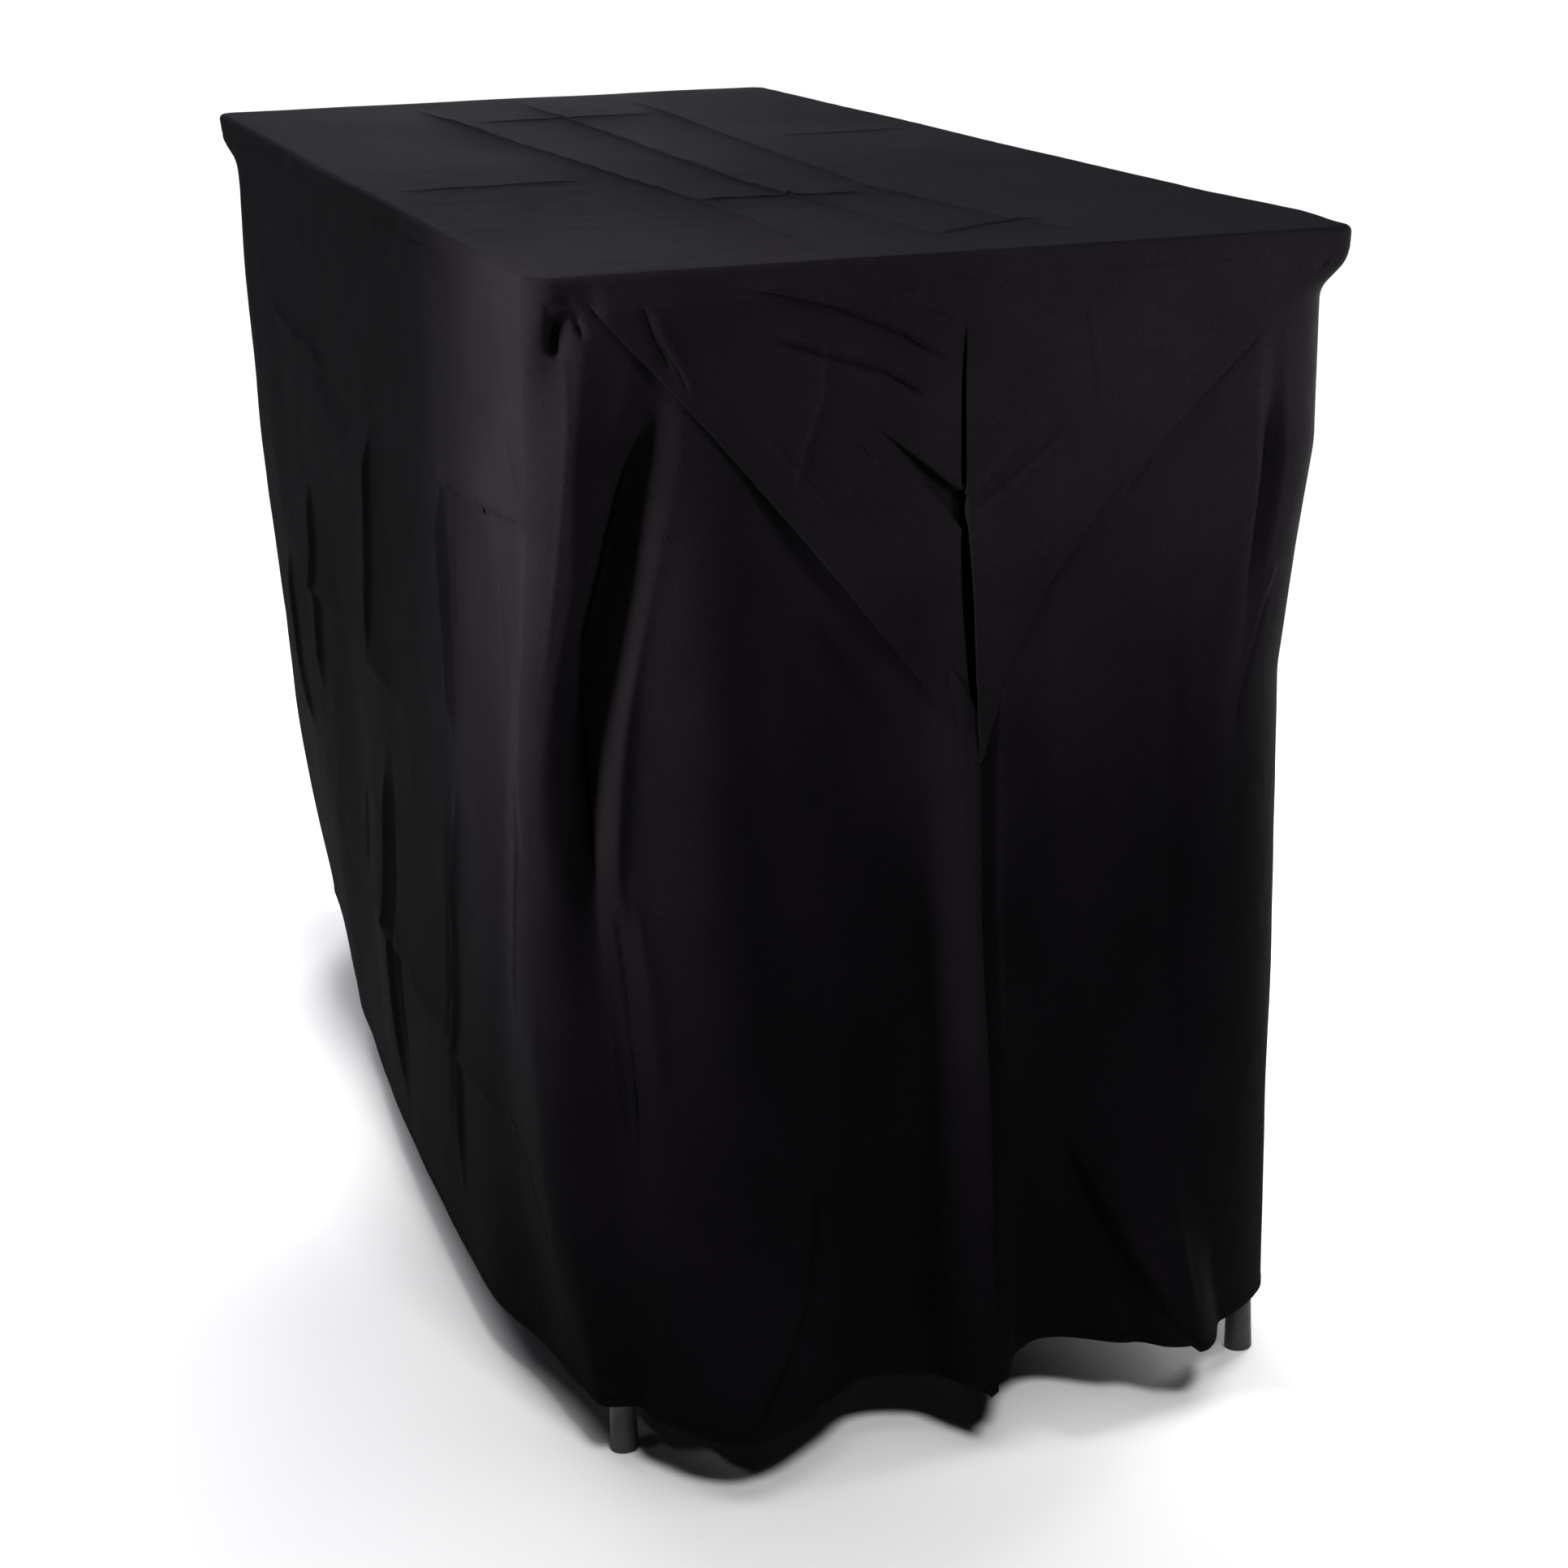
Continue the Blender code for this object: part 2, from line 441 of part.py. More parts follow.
def panel_mesh():
    """The table's panel: rounded corners in plan, the edge slightly eased."""
    half_x, half_y, ease = TABLE_WIDTH / 2, TABLE_LENGTH / 2, 0.003
    mesh = bmesh.new()
    rings = []
    for z, inset in ((0, ease), (ease, 0), (PANEL_THICK - ease, 0), (PANEL_THICK, ease)):
        ring = []
        for k, (sx, sy) in enumerate(((1, 1), (-1, 1), (-1, -1), (1, -1))):
            for i in range(5):
                turn = math.pi / 2 * (k + i / 4)
                r = PANEL_CORNER - inset
                ring.append(mesh.verts.new((sx * (half_x - PANEL_CORNER) + r * math.cos(turn), sy * (half_y - PANEL_CORNER) + r * math.sin(turn), z)))
        rings.append(ring)
    for low, high in zip(rings, rings[1:]):
        for i in range(len(low)):
            j = (i + 1) % len(low)
            mesh.faces.new([low[i], low[j], high[j], high[i]])
    mesh.faces.new(rings[0][::-1])
    mesh.faces.new(rings[-1])
    return mesh


black_cloth = material("black_satin", (0.010, 0.009, 0.011), 0.55)
panel_grey = material("table_panel_plastic", (0.62, 0.62, 0.60), 0.5)
tube_black = material("leg_tube_paint", (0.030, 0.031, 0.032), 0.4)
foot_black = material("foot_plastic", (0.022, 0.023, 0.023), 0.55)

place("cover_cloth", cloth_mesh(), black_cloth, smooth=True)
place("table_top", panel_mesh(), panel_grey, (0, 0, TABLE_HEIGHT - PANEL_THICK))

under_panel = TABLE_HEIGHT - PANEL_THICK - REST_GAP
for side, sx in (("left", -1), ("right", 1)):
    for end, sy, inset in (("near", -1, LEG_INSET_NEAR), ("far", 1, LEG_INSET_FAR)):
        x = sx * (TABLE_WIDTH / 2 - inset[0])
        y = sy * (TABLE_LENGTH / 2 - inset[1])
        foot = [(FOOT_RADIUS - FOOT_LIP, 0), (FOOT_RADIUS, FOOT_LIP), (FOOT_RADIUS - 0.0004, 0.012), (FOOT_TOP_RADIUS, FOOT_HEIGHT)]
        place(f"foot_{end}_{side}", turned(foot), foot_black, (x, y, 0))
        tube = [(TUBE_RADIUS, FOOT_HEIGHT + REST_GAP), (TUBE_RADIUS, under_panel)]
        place(f"leg_{end}_{side}", turned(tube), tube_black, (x, y, 0))
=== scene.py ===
"""Black table cover draped over a bar-height folding table: the looks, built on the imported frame.

Frame: metres, +Z up, floor at z = 0. The end that shows the V fold faces -Y, the long side beside it faces -X.
The cover is one rectangular sheet. `s` runs round the table's outline from the near left corner N over the near
right (R), far right (F) and far left (L) corners back to N, and `h` is the depth below the top of the cloth.
"""

import math

import bpy  # noqa: E402
import numpy as np  # noqa: E402
from mathutils import Matrix, Vector  # noqa: E402
from mathutils.geometry import delaunay_2d_cdt  # noqa: E402


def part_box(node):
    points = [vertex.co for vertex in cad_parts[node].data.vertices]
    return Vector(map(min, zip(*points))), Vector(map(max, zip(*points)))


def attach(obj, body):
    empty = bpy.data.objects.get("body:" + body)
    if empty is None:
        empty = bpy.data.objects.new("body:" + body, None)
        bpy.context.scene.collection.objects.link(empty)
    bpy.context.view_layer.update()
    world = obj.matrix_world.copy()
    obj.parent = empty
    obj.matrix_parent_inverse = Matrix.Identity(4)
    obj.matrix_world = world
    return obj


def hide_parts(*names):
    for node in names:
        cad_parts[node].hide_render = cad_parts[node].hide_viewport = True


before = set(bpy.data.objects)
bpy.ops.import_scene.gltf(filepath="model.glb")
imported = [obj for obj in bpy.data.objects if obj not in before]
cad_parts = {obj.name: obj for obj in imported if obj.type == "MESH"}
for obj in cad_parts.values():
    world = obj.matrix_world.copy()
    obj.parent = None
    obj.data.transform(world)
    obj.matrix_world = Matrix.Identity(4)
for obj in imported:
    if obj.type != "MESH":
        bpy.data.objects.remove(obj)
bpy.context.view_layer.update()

# ---- named sizes (metres), taken from the frame's own table and cloth ----
PANEL_LOW, PANEL_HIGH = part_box("table_top")
CLOTH_LOW, CLOTH_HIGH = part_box("cover_cloth")
EDGE_STAND = 0.004  # outside of the cloth off the panel's edge
Z_TOP = CLOTH_HIGH[2]
HALF_X = PANEL_HIGH[0] + EDGE_STAND
HALF_Y = PANEL_HIGH[1] + EDGE_STAND
DROP = Z_TOP - CLOTH_LOW[2]
END = 2 * HALF_X
SIDE = 2 * HALF_Y
ROUND = 2 * (END + SIDE)
CORNER_N, CORNER_R, CORNER_F, CORNER_L = 0.0, END, END + SIDE, 2 * END + SIDE
MID_FAR = END + SIDE + HALF_X

EDGE_ROUND = 0.006  # roll of the cloth over the panel's edge
BAND = 0.022  # depth of the part of the skirt that is one sheet all round
ON_TOP = 0.012  # how far the edge band reaches in on the top
HEM_FOLD = 0.0011  # radius of the hem's fold
FLAP_FOLD = 0.0013  # radius of the folded edges of the V
HEM_WIDTH = 0.0068

# ---- the broad shape, the same as the frame's cloth ----
CORNER_ROUND = {
    CORNER_N: [(0.0, 0.024), (0.06, 0.030), (0.20, 0.036), (0.50, 0.045), (0.70, 0.070), (0.90, 0.100), (1.04, 0.126)],
    CORNER_R: [(0.0, 0.024), (0.028, 0.027), (0.036, 0.040), (0.060, 0.100), (0.20, 0.108), (0.30, 0.152), (0.42, 0.196), (1.04, 0.200)],
    CORNER_F: [(0.0, 0.024), (0.042, 0.024), (0.065, 0.050), (0.20, 0.080), (0.50, 0.120), (0.80, 0.160), (1.04, 0.180)],
    CORNER_L: [(0.0, 0.024), (0.008, 0.027), (0.018, 0.040), (0.032, 0.042), (0.050, 0.060), (0.20, 0.060), (0.50, 0.080), (0.80, 0.130), (1.04, 0.160)],
}


def near(x):
    return x + HALF_X


def left(y):
    return -(y + HALF_Y)


def right(y):
    return END + y + HALF_Y


def far(x):
    return END + SIDE + HALF_X - x


# Every fold: name, and rows of (depth, s, half width before, half width after, swing out).
FOLDS = {
    "ridge below the left half of the V": [
        (0.10, near(-0.250), 0.06, 0.07, 0.000), (0.25, near(-0.236), 0.07, 0.09, 0.010), (0.45, near(-0.230), 0.09, 0.13, 0.018),
        (0.70, near(-0.222), 0.11, 0.14, 0.032), (0.90, near(-0.224), 0.12, 0.13, 0.048), (1.04, near(-0.222), 0.10, 0.12, 0.066)],
    "valley beside corner N": [
        (0.08, near(-0.268), 0.02, 0.02, 0.000), (0.13, near(-0.272), 0.035, 0.03, -0.008), (0.25, near(-0.304), 0.042, 0.032, -0.020),
        (0.40, near(-0.338), 0.046, 0.030, -0.034), (0.50, near(-0.346), 0.048, 0.028, -0.028), (0.60, near(-0.343), 0.07, 0.038, -0.022),
        (0.80, near(-0.332), 0.08, 0.06, -0.012), (0.94, near(-0.338), 0.07, 0.05, -0.008), (1.04, near(-0.345), 0.05, 0.03, -0.022)],
    "crease below that valley": [
        (0.52, near(-0.316), 0.02, 0.012, 0.000), (0.60, near(-0.310), 0.03, 0.014, -0.008), (0.72, near(-0.305), 0.03, 0.014, -0.010),
        (0.84, near(-0.308), 0.02, 0.012, -0.004), (0.88, near(-0.309), 0.02, 0.012, 0.000)],
    "pocket under corner N": [
        (0.025, near(-0.352), 0.03, 0.03, 0.000), (0.05, near(-0.355), 0.04, 0.03, -0.012), (0.09, near(-0.360), 0.04, 0.03, -0.010),
        (0.18, near(-0.364), 0.03, 0.02, -0.004), (0.28, near(-0.366), 0.03, 0.02, 0.000)],
    "ridge down corner N": [
        (0.16, left(-0.895), 0.06, 0.04, 0.000), (0.30, left(-0.880), 0.09, 0.05, 0.008), (0.45, left(-0.850), 0.12, 0.07, 0.014),
        (0.65, left(-0.820), 0.14, 0.09, 0.014), (0.85, left(-0.800), 0.17, 0.10, 0.002), (1.04, left(-0.810), 0.22, 0.12, -0.024)],
    "centre edge": [
        (0.44, near(0.010), 0.05, 0.07, 0.008), (0.60, near(0.010), 0.040, 0.09, 0.020), (0.80, near(0.011), 0.045, 0.07, 0.037),
        (0.93, near(0.010), 0.06, 0.05, 0.040), (1.04, near(0.007), 0.045, 0.045, 0.050)],
    "trough left of the centre edge": [
        (0.46, near(-0.050), 0.07, 0.05, 0.000), (0.60, near(-0.044), 0.08, 0.045, -0.017), (0.80, near(-0.056), 0.09, 0.055, -0.025),
        (1.04, near(-0.085), 0.05, 0.075, -0.022)],
    "swell right of the centre": [
        (0.20, near(0.110), 0.10, 0.10, 0.000), (0.45, near(0.100), 0.11, 0.12, 0.010), (0.70, near(0.095), 0.10, 0.12, 0.012),
        (0.90, near(0.088), 0.06, 0.08, -0.006), (1.04, near(0.088), 0.06, 0.075, -0.040)],
    "cone fold at the lower right": [
        (0.80, near(0.110), 0.03, 0.06, 0.000), (0.88, near(0.150), 0.04, 0.10, 0.014), (0.96, near(0.190), 0.05, 0.09, 0.032),
        (1.04, near(0.226), 0.06, 0.07, 0.040)],
    "valley beside corner R": [
        (0.10, near(0.300), 0.02, 0.02, 0.000), (0.16, near(0.304), 0.03, 0.02, -0.010), (0.23, near(0.308), 0.03, 0.022, -0.014),
        (0.29, near(0.306), 0.025, 0.02, -0.008), (0.36, near(0.305), 0.02, 0.02, 0.000)],
    "ridge before that valley": [
        (0.06, near(0.275), 0.04, 0.03, 0.000), (0.14, near(0.276), 0.05, 0.03, 0.006), (0.25, near(0.270), 0.06, 0.04, 0.008),
        (0.45, near(0.255), 0.07, 0.05, 0.004), (0.60, near(0.262), 0.07, 0.05, 0.000)],
    "hollow below the left edge of the V": [
        (0.16, near(-0.190), 0.06, 0.05, 0.000), (0.26, near(-0.140), 0.07, 0.06, -0.006), (0.36, near(-0.090), 0.08, 0.07, -0.008),
        (0.46, near(-0.070), 0.07, 0.07, -0.004), (0.54, near(-0.070), 0.06, 0.06, 0.000)],
    "belly of the left side": [
        (0.20, left(-0.20), 0.70, 0.55, 0.000), (0.55, left(-0.35), 0.80, 0.50, 0.010), (0.85, left(-0.30), 0.60, 0.50, 0.012),
        (1.04, left(-0.40), 0.45, 0.30, 0.010)],
    "draw-in towards corner L": [
        (0.02, left(0.93), 0.16, 0.20, 0.000), (0.05, left(0.93), 0.16, 0.22, -0.024), (0.20, left(0.93), 0.16, 0.22, -0.018),
        (0.40, left(0.91), 0.18, 0.34, -0.014), (0.58, left(0.92), 0.20, 0.50, -0.022), (0.80, left(0.93), 0.24, 0.70, -0.038),
        (0.92, left(0.94), 0.26, 0.84, -0.052), (1.04, left(0.95), 0.28, 0.95, -0.072)],
    "long fold of the left side": [
        (0.20, left(-0.62), 0.10, 0.09, 0.000), (0.40, left(-0.64), 0.14, 0.10, 0.005), (0.80, left(-0.60), 0.16, 0.12, 0.006),
        (1.04, left(-0.58), 0.18, 0.14, 0.004)],
    "valley before corner L": [
        (0.08, left(0.84), 0.03, 0.05, 0.000), (0.18, left(0.84), 0.04, 0.06, -0.012), (0.35, left(0.83), 0.05, 0.08, -0.016),
        (0.55, left(0.82), 0.06, 0.10, -0.010), (0.80, left(0.80), 0.06, 0.10, 0.000)],
    "second fold of the left side": [
        (0.30, left(0.05), 0.14, 0.14, 0.000), (0.60, left(0.08), 0.16, 0.14, -0.006), (0.90, left(0.10), 0.18, 0.16, -0.006),
        (1.04, left(0.12), 0.18, 0.16, -0.004)],
    "belly of the right side": [
        (0.20, right(0.0), 0.70, 0.70, 0.000), (0.60, right(0.05), 0.75, 0.70, 0.014), (1.04, right(0.10), 0.75, 0.70, 0.022)],
    "first fold of the right side": [
        (0.25, right(-0.45), 0.10, 0.12, 0.000), (0.60, right(-0.44), 0.12, 0.13, -0.008), (1.04, right(-0.40), 0.14, 0.15, -0.018)],
    "second fold of the right side": [
        (0.30, right(0.28), 0.12, 0.10, 0.000), (0.70, right(0.30), 0.14, 0.12, -0.010), (1.04, right(0.33), 0.15, 0.14, -0.020)],
    "corner R drawn in at the hem": [
        (0.75, right(-0.78), 0.12, 0.20, 0.000), (0.88, right(-0.76), 0.12, 0.22, -0.012), (1.04, right(-0.76), 0.12, 0.24, -0.017)],
    "wing beside corner L": [
        (0.06, far(-0.330), 0.05, 0.03, 0.000), (0.14, far(-0.335), 0.06, 0.035, 0.018), (0.35, far(-0.338), 0.07, 0.04, 0.028),
        (0.60, far(-0.335), 0.07, 0.05, 0.020), (0.90, far(-0.320), 0.07, 0.06, 0.010), (1.04, far(-0.310), 0.07, 0.06, 0.000)],
    "left ridge of the far end": [
        (0.12, far(-0.240), 0.07, 0.07, 0.000), (0.45, far(-0.225), 0.10, 0.09, 0.016), (0.80, far(-0.220), 0.12, 0.10, 0.036),
        (1.04, far(-0.215), 0.12, 0.10, 0.054)],
    "right ridge of the far end": [
        (0.12, far(0.235), 0.07, 0.07, 0.000), (0.45, far(0.222), 0.10, 0.10, 0.018), (0.80, far(0.225), 0.12, 0.11, 0.040),
        (1.04, far(0.230), 0.12, 0.12, 0.060)],
    "centre edge of the far end": [
        (0.44, far(-0.008), 0.06, 0.06, 0.008), (0.75, far(-0.008), 0.07, 0.07, 0.030), (1.04, far(-0.010), 0.07, 0.07, 0.052)],
    "valley beside corner F": [
        (0.10, far(0.280), 0.03, 0.03, 0.000), (0.30, far(0.300), 0.05, 0.05, -0.026), (0.50, far(0.305), 0.05, 0.05, -0.030),
        (0.75, far(0.300), 0.06, 0.05, -0.010), (0.95, far(0.300), 0.05, 0.05, 0.000)],
}
# Columns: distance from the middle of the end, depth of the V's edge.
V_NEAR_LEFT = [(HALF_X, 0.000), (0.345, 0.004), (0.328, 0.017), (0.299, 0.051), (0.266, 0.087), (0.222, 0.138), (0.155, 0.220), (0.102, 0.287),
               (0.074, 0.324), (0.050, 0.354), (0.022, 0.392), (-0.011, 0.449)]
V_NEAR_RIGHT = [(HALF_X, 0.000), (0.320, 0.046), (0.186, 0.174), (0.138, 0.218), (0.076, 0.297), (0.046, 0.355), (0.026, 0.409), (0.011, 0.449)]
V_FAR = [(HALF_X, 0.000), (0.276, 0.094), (0.150, 0.222), (0.060, 0.345), (0.000, 0.430)]
# The open pleat down the middle of the V. Columns: depth, x of its middle, half width.
SLIT_NEAR = [(0.055, 0.004, 0.0004), (0.075, 0.004, 0.0022), (0.110, 0.003, 0.0034), (0.190, 0.002, 0.0040), (0.225, 0.001, 0.0016),
             (0.250, 0.002, 0.0055), (0.300, 0.004, 0.0068), (0.380, 0.007, 0.0050), (0.430, 0.010, 0.0022), (0.447, 0.011, 0.0006)]
SLIT_FAR = [(0.060, 0.000, 0.0004), (0.150, 0.000, 0.0030), (0.300, 0.000, 0.0055), (0.410, 0.000, 0.0030), (0.430, 0.000, 0.0006)]
# The cloth rolls wide of the panel's edge in places. Columns: s, half width before, half width after, stand-off.
WIDE_OF_THE_EDGE = [(right(-0.765), 0.11, 0.22, 0.010), (right(0.30), 0.25, 0.25, 0.003), (near(-0.250), 0.09, 0.12, 0.003)]
# Uneven height of the hem. Columns: s, rise.
HEM_RISE = [(near(-0.24), 0.0), (near(-0.13), 0.004), (near(-0.08), 0.001), (near(-0.01), 0.004), (near(0.006), 0.001), (near(0.014), 0.007),
            (near(0.06), 0.004), (near(0.19), 0.004), (near(0.212), 0.008), (near(0.222), 0.0), (near(0.30), 0.0)]
# The left wrap's hemmed upright edge, which lies over the right wrap. Columns: depth, x.
OVERLAP_EDGE = [(0.40, 0.012), (0.60, 0.007), (0.80, 0.010), (1.04, 0.009)]


def along(depth, rows, column, blur=0.035):
    knots = np.array([row[0] for row in rows], float)
    values = np.array([row[column] for row in rows], float)
    taps = (-1.0, -0.5, 0.0, 0.5, 1.0)
    return sum(np.interp(depth + tap * blur, knots, values) for tap in taps) / len(taps)


def round_the_table(distance):
    return (distance + ROUND / 2) % ROUND - ROUND / 2


def swing(s, h):
    out = np.zeros_like(s)
    for rows in FOLDS.values():
        middle, before, after, size = (along(h, rows, column) for column in (1, 2, 3, 4))
        off = round_the_table(s - middle)
        t = np.abs(off) / np.where(off < 0, before, after)
        out += size * np.where(t < 1, (1 - np.minimum(t, 1) ** 2) ** 2, 0)
    return out * np.clip((h - 0.031) / 0.028, 0, 1)


def v_depth(x, sides):
    depth = np.full_like(x, 0.0)
    for sign, rows in zip((-1, 1), sides):
        d = np.array([row[0] for row in rows])[::-1]
        e = np.array([row[1] for row in rows])[::-1]
        here = sign * x >= d[0]
        depth = np.where(here, np.maximum(depth, np.interp(sign * x, d, e)), depth)
    return depth


def outline(s, h):
    s = np.mod(s, ROUND)
    x = np.select([s < CORNER_R, s < CORNER_F, s < CORNER_L], [s - HALF_X, HALF_X, MID_FAR - s], -HALF_X)
    y = np.select([s < CORNER_R, s < CORNER_F, s < CORNER_L], [-HALF_Y, s - END - HALF_Y, HALF_Y], HALF_Y - (s - CORNER_L))
    nx = np.select([s < CORNER_R, s < CORNER_F, s < CORNER_L], [0.0, 1.0, 0.0], -1.0)
    ny = np.select([s < CORNER_R, s < CORNER_F, s < CORNER_L], [-1.0, 0.0, 1.0], 0.0)
    for corner, (sx, sy) in zip((CORNER_N, CORNER_R, CORNER_F, CORNER_L), ((-1, -1), (1, -1), (1, 1), (-1, 1))):
        radius = along(h, CORNER_ROUND[corner], 1, 0.008)
        d = round_the_table(s - corner)
        turn = math.atan2(sy, sx) + math.pi / 4 * d / radius
        here = np.abs(d) < radius
        x = np.where(here, sx * (HALF_X - radius) + radius * np.cos(turn), x)
        y = np.where(here, sy * (HALF_Y - radius) + radius * np.sin(turn), y)
        nx = np.where(here, np.cos(turn), nx)
        ny = np.where(here, np.sin(turn), ny)
    return x, y, nx, ny


def ease(t):
    t = np.clip(t, 0, 1)
    return t * t * (3 - 2 * t)


def ripple(u, v, seed, waves=7):
    """A smooth, uneven wave field of about unit height."""
    rng = np.random.default_rng(seed)
    out = np.zeros_like(u)
    for _ in range(waves):
        a, b, phase, weight = rng.uniform(-1, 1), rng.uniform(-1, 1), rng.uniform(0, 2 * math.pi), rng.uniform(0.5, 1)
        out += weight * np.sin(2 * math.pi * (a * u + b * v) + phase)
    return out / math.sqrt(waves)


# ---- creases: each one is a stroke drawn on the cloth ----
# Columns: points as (s, z), profile, width, height. Profiles: ridge and dent are round, tent and nick are sharp,
# step rises on the left of the stroke's direction and dies away over its width.
def at(place, *points):
    return [(place(a), z) for a, z in points]


FLAP_STROKES = {
    "long tuck from the left top": (at(near, (-0.205, 1.088), (-0.103, 1.060), (-0.045, 1.034), (0.002, 1.002)), "step", 0.022, 0.0075),
    "dip over it": (at(near, (-0.180, 1.098), (-0.090, 1.078), (-0.030, 1.052)), "dent", 0.010, -0.0024),
    "second tuck": (at(near, (-0.176, 1.042), (-0.120, 1.021), (-0.067, 1.003), (-0.018, 0.972)), "nick", 0.0042, -0.0062),
    "ridge over the second tuck": (at(near, (-0.170, 1.047), (-0.118, 1.028), (-0.062, 1.010), (-0.014, 0.982)), "ridge", 0.007, 0.0028),
    "short nick": (at(near, (-0.094, 0.947), (-0.078, 0.927)), "nick", 0.0026, -0.0018),
    "top nick by the pleat": (at(near, (-0.046, 1.064), (0.003, 1.042)), "step", 0.014, 0.0022),
    "flat dent over it": (at(near, (-0.062, 1.072), (-0.004, 1.072)), "nick", 0.004, -0.0008),
    "first slant nick": (at(near, (-0.280, 1.078), (-0.268, 1.042), (-0.254, 1.016)), "nick", 0.0038, -0.0034),
    "second slant nick": (at(near, (-0.268, 1.048), (-0.250, 1.020), (-0.240, 0.998)), "nick", 0.0028, -0.0018),
    "slant ridge": (at(near, (-0.272, 1.075), (-0.246, 1.018), (-0.232, 0.990)), "ridge", 0.006, 0.0012),
    "right upper arc": (at(near, (0.010, 1.058), (0.046, 1.080), (0.113, 1.093)), "ridge", 0.005, 0.0009),
    "right upper arc dip": (at(near, (0.014, 1.046), (0.052, 1.070), (0.112, 1.084)), "dent", 0.007, -0.0006),
    "right long arc": (at(near, (0.024, 0.972), (0.062, 1.006), (0.119, 1.022), (0.193, 1.044)), "ridge", 0.0045, 0.0009),
    "right long arc dip": (at(near, (0.034, 0.968), (0.070, 0.994), (0.122, 1.010), (0.180, 1.026)), "dent", 0.010, -0.0006),
    "right diagonal": (at(near, (0.110, 1.078), (0.150, 1.100)), "tent", 0.003, 0.0008),
    "right small arc": (at(near, (0.030, 1.020), (0.052, 1.034)), "ridge", 0.004, 0.0007),
    "right lower arc": (at(near, (0.004, 0.874), (0.035, 0.900), (0.072, 0.928), (0.103, 0.957)), "dent", 0.005, -0.0020),
    "right lower arc crest": (at(near, (0.006, 0.890), (0.032, 0.914), (0.066, 0.942), (0.092, 0.968)), "ridge", 0.005, 0.0014),
    "right lower arc second": (at(near, (0.030, 0.880), (0.058, 0.906), (0.090, 0.932)), "ridge", 0.004, 0.0008),
    "right short line": (at(near, (0.024, 0.786), (0.048, 0.810)), "tent", 0.002, 0.0004),
    "right faint line": (at(near, (0.070, 0.878), (0.110, 0.886)), "tent", 0.003, 0.0006),
    "packing crease of the left half": (at(near, (-0.118, 1.045), (-0.123, 0.989), (-0.139, 0.947), (-0.154, 0.896)), "tent", 0.0035, 0.0014),
    "packing crease of the right half": (at(near, (0.111, 1.085), (0.119, 1.027), (0.127, 0.967), (0.138, 0.921), (0.153, 0.884)), "tent", 0.004, 0.0020),
    "packing step of the right half": (at(near, (0.112, 1.070), (0.119, 1.027), (0.127, 0.967), (0.152, 0.885)), "step", 0.035, 0.0022),
    "faint slant of the left half": (at(near, (-0.200, 0.985), (-0.160, 0.940), (-0.128, 0.902), (-0.118, 0.886)), "tent", 0.003, 0.0008),
    "faint slant below it": (at(near, (-0.116, 0.914), (-0.080, 0.880), (-0.050, 0.853)), "nick", 0.003, -0.0008),
    "pucker of the left edge": (at(near, (-0.150, 0.905), (-0.120, 0.900), (-0.090, 0.902)), "ridge", 0.010, 0.0009),
}
for k in range(7):  # a fan of fine puckers by the pleat's right rim
    FLAP_STROKES[f"fan {k}"] = (at(near, (0.016, 0.868 - 0.0075 * k), (0.036 + 0.003 * (k % 3), 0.872 - 0.0078 * k), (0.062, 0.880 - 0.0090 * k)), "ridge", 0.0022, 0.00022 + 0.00008 * (k % 3))

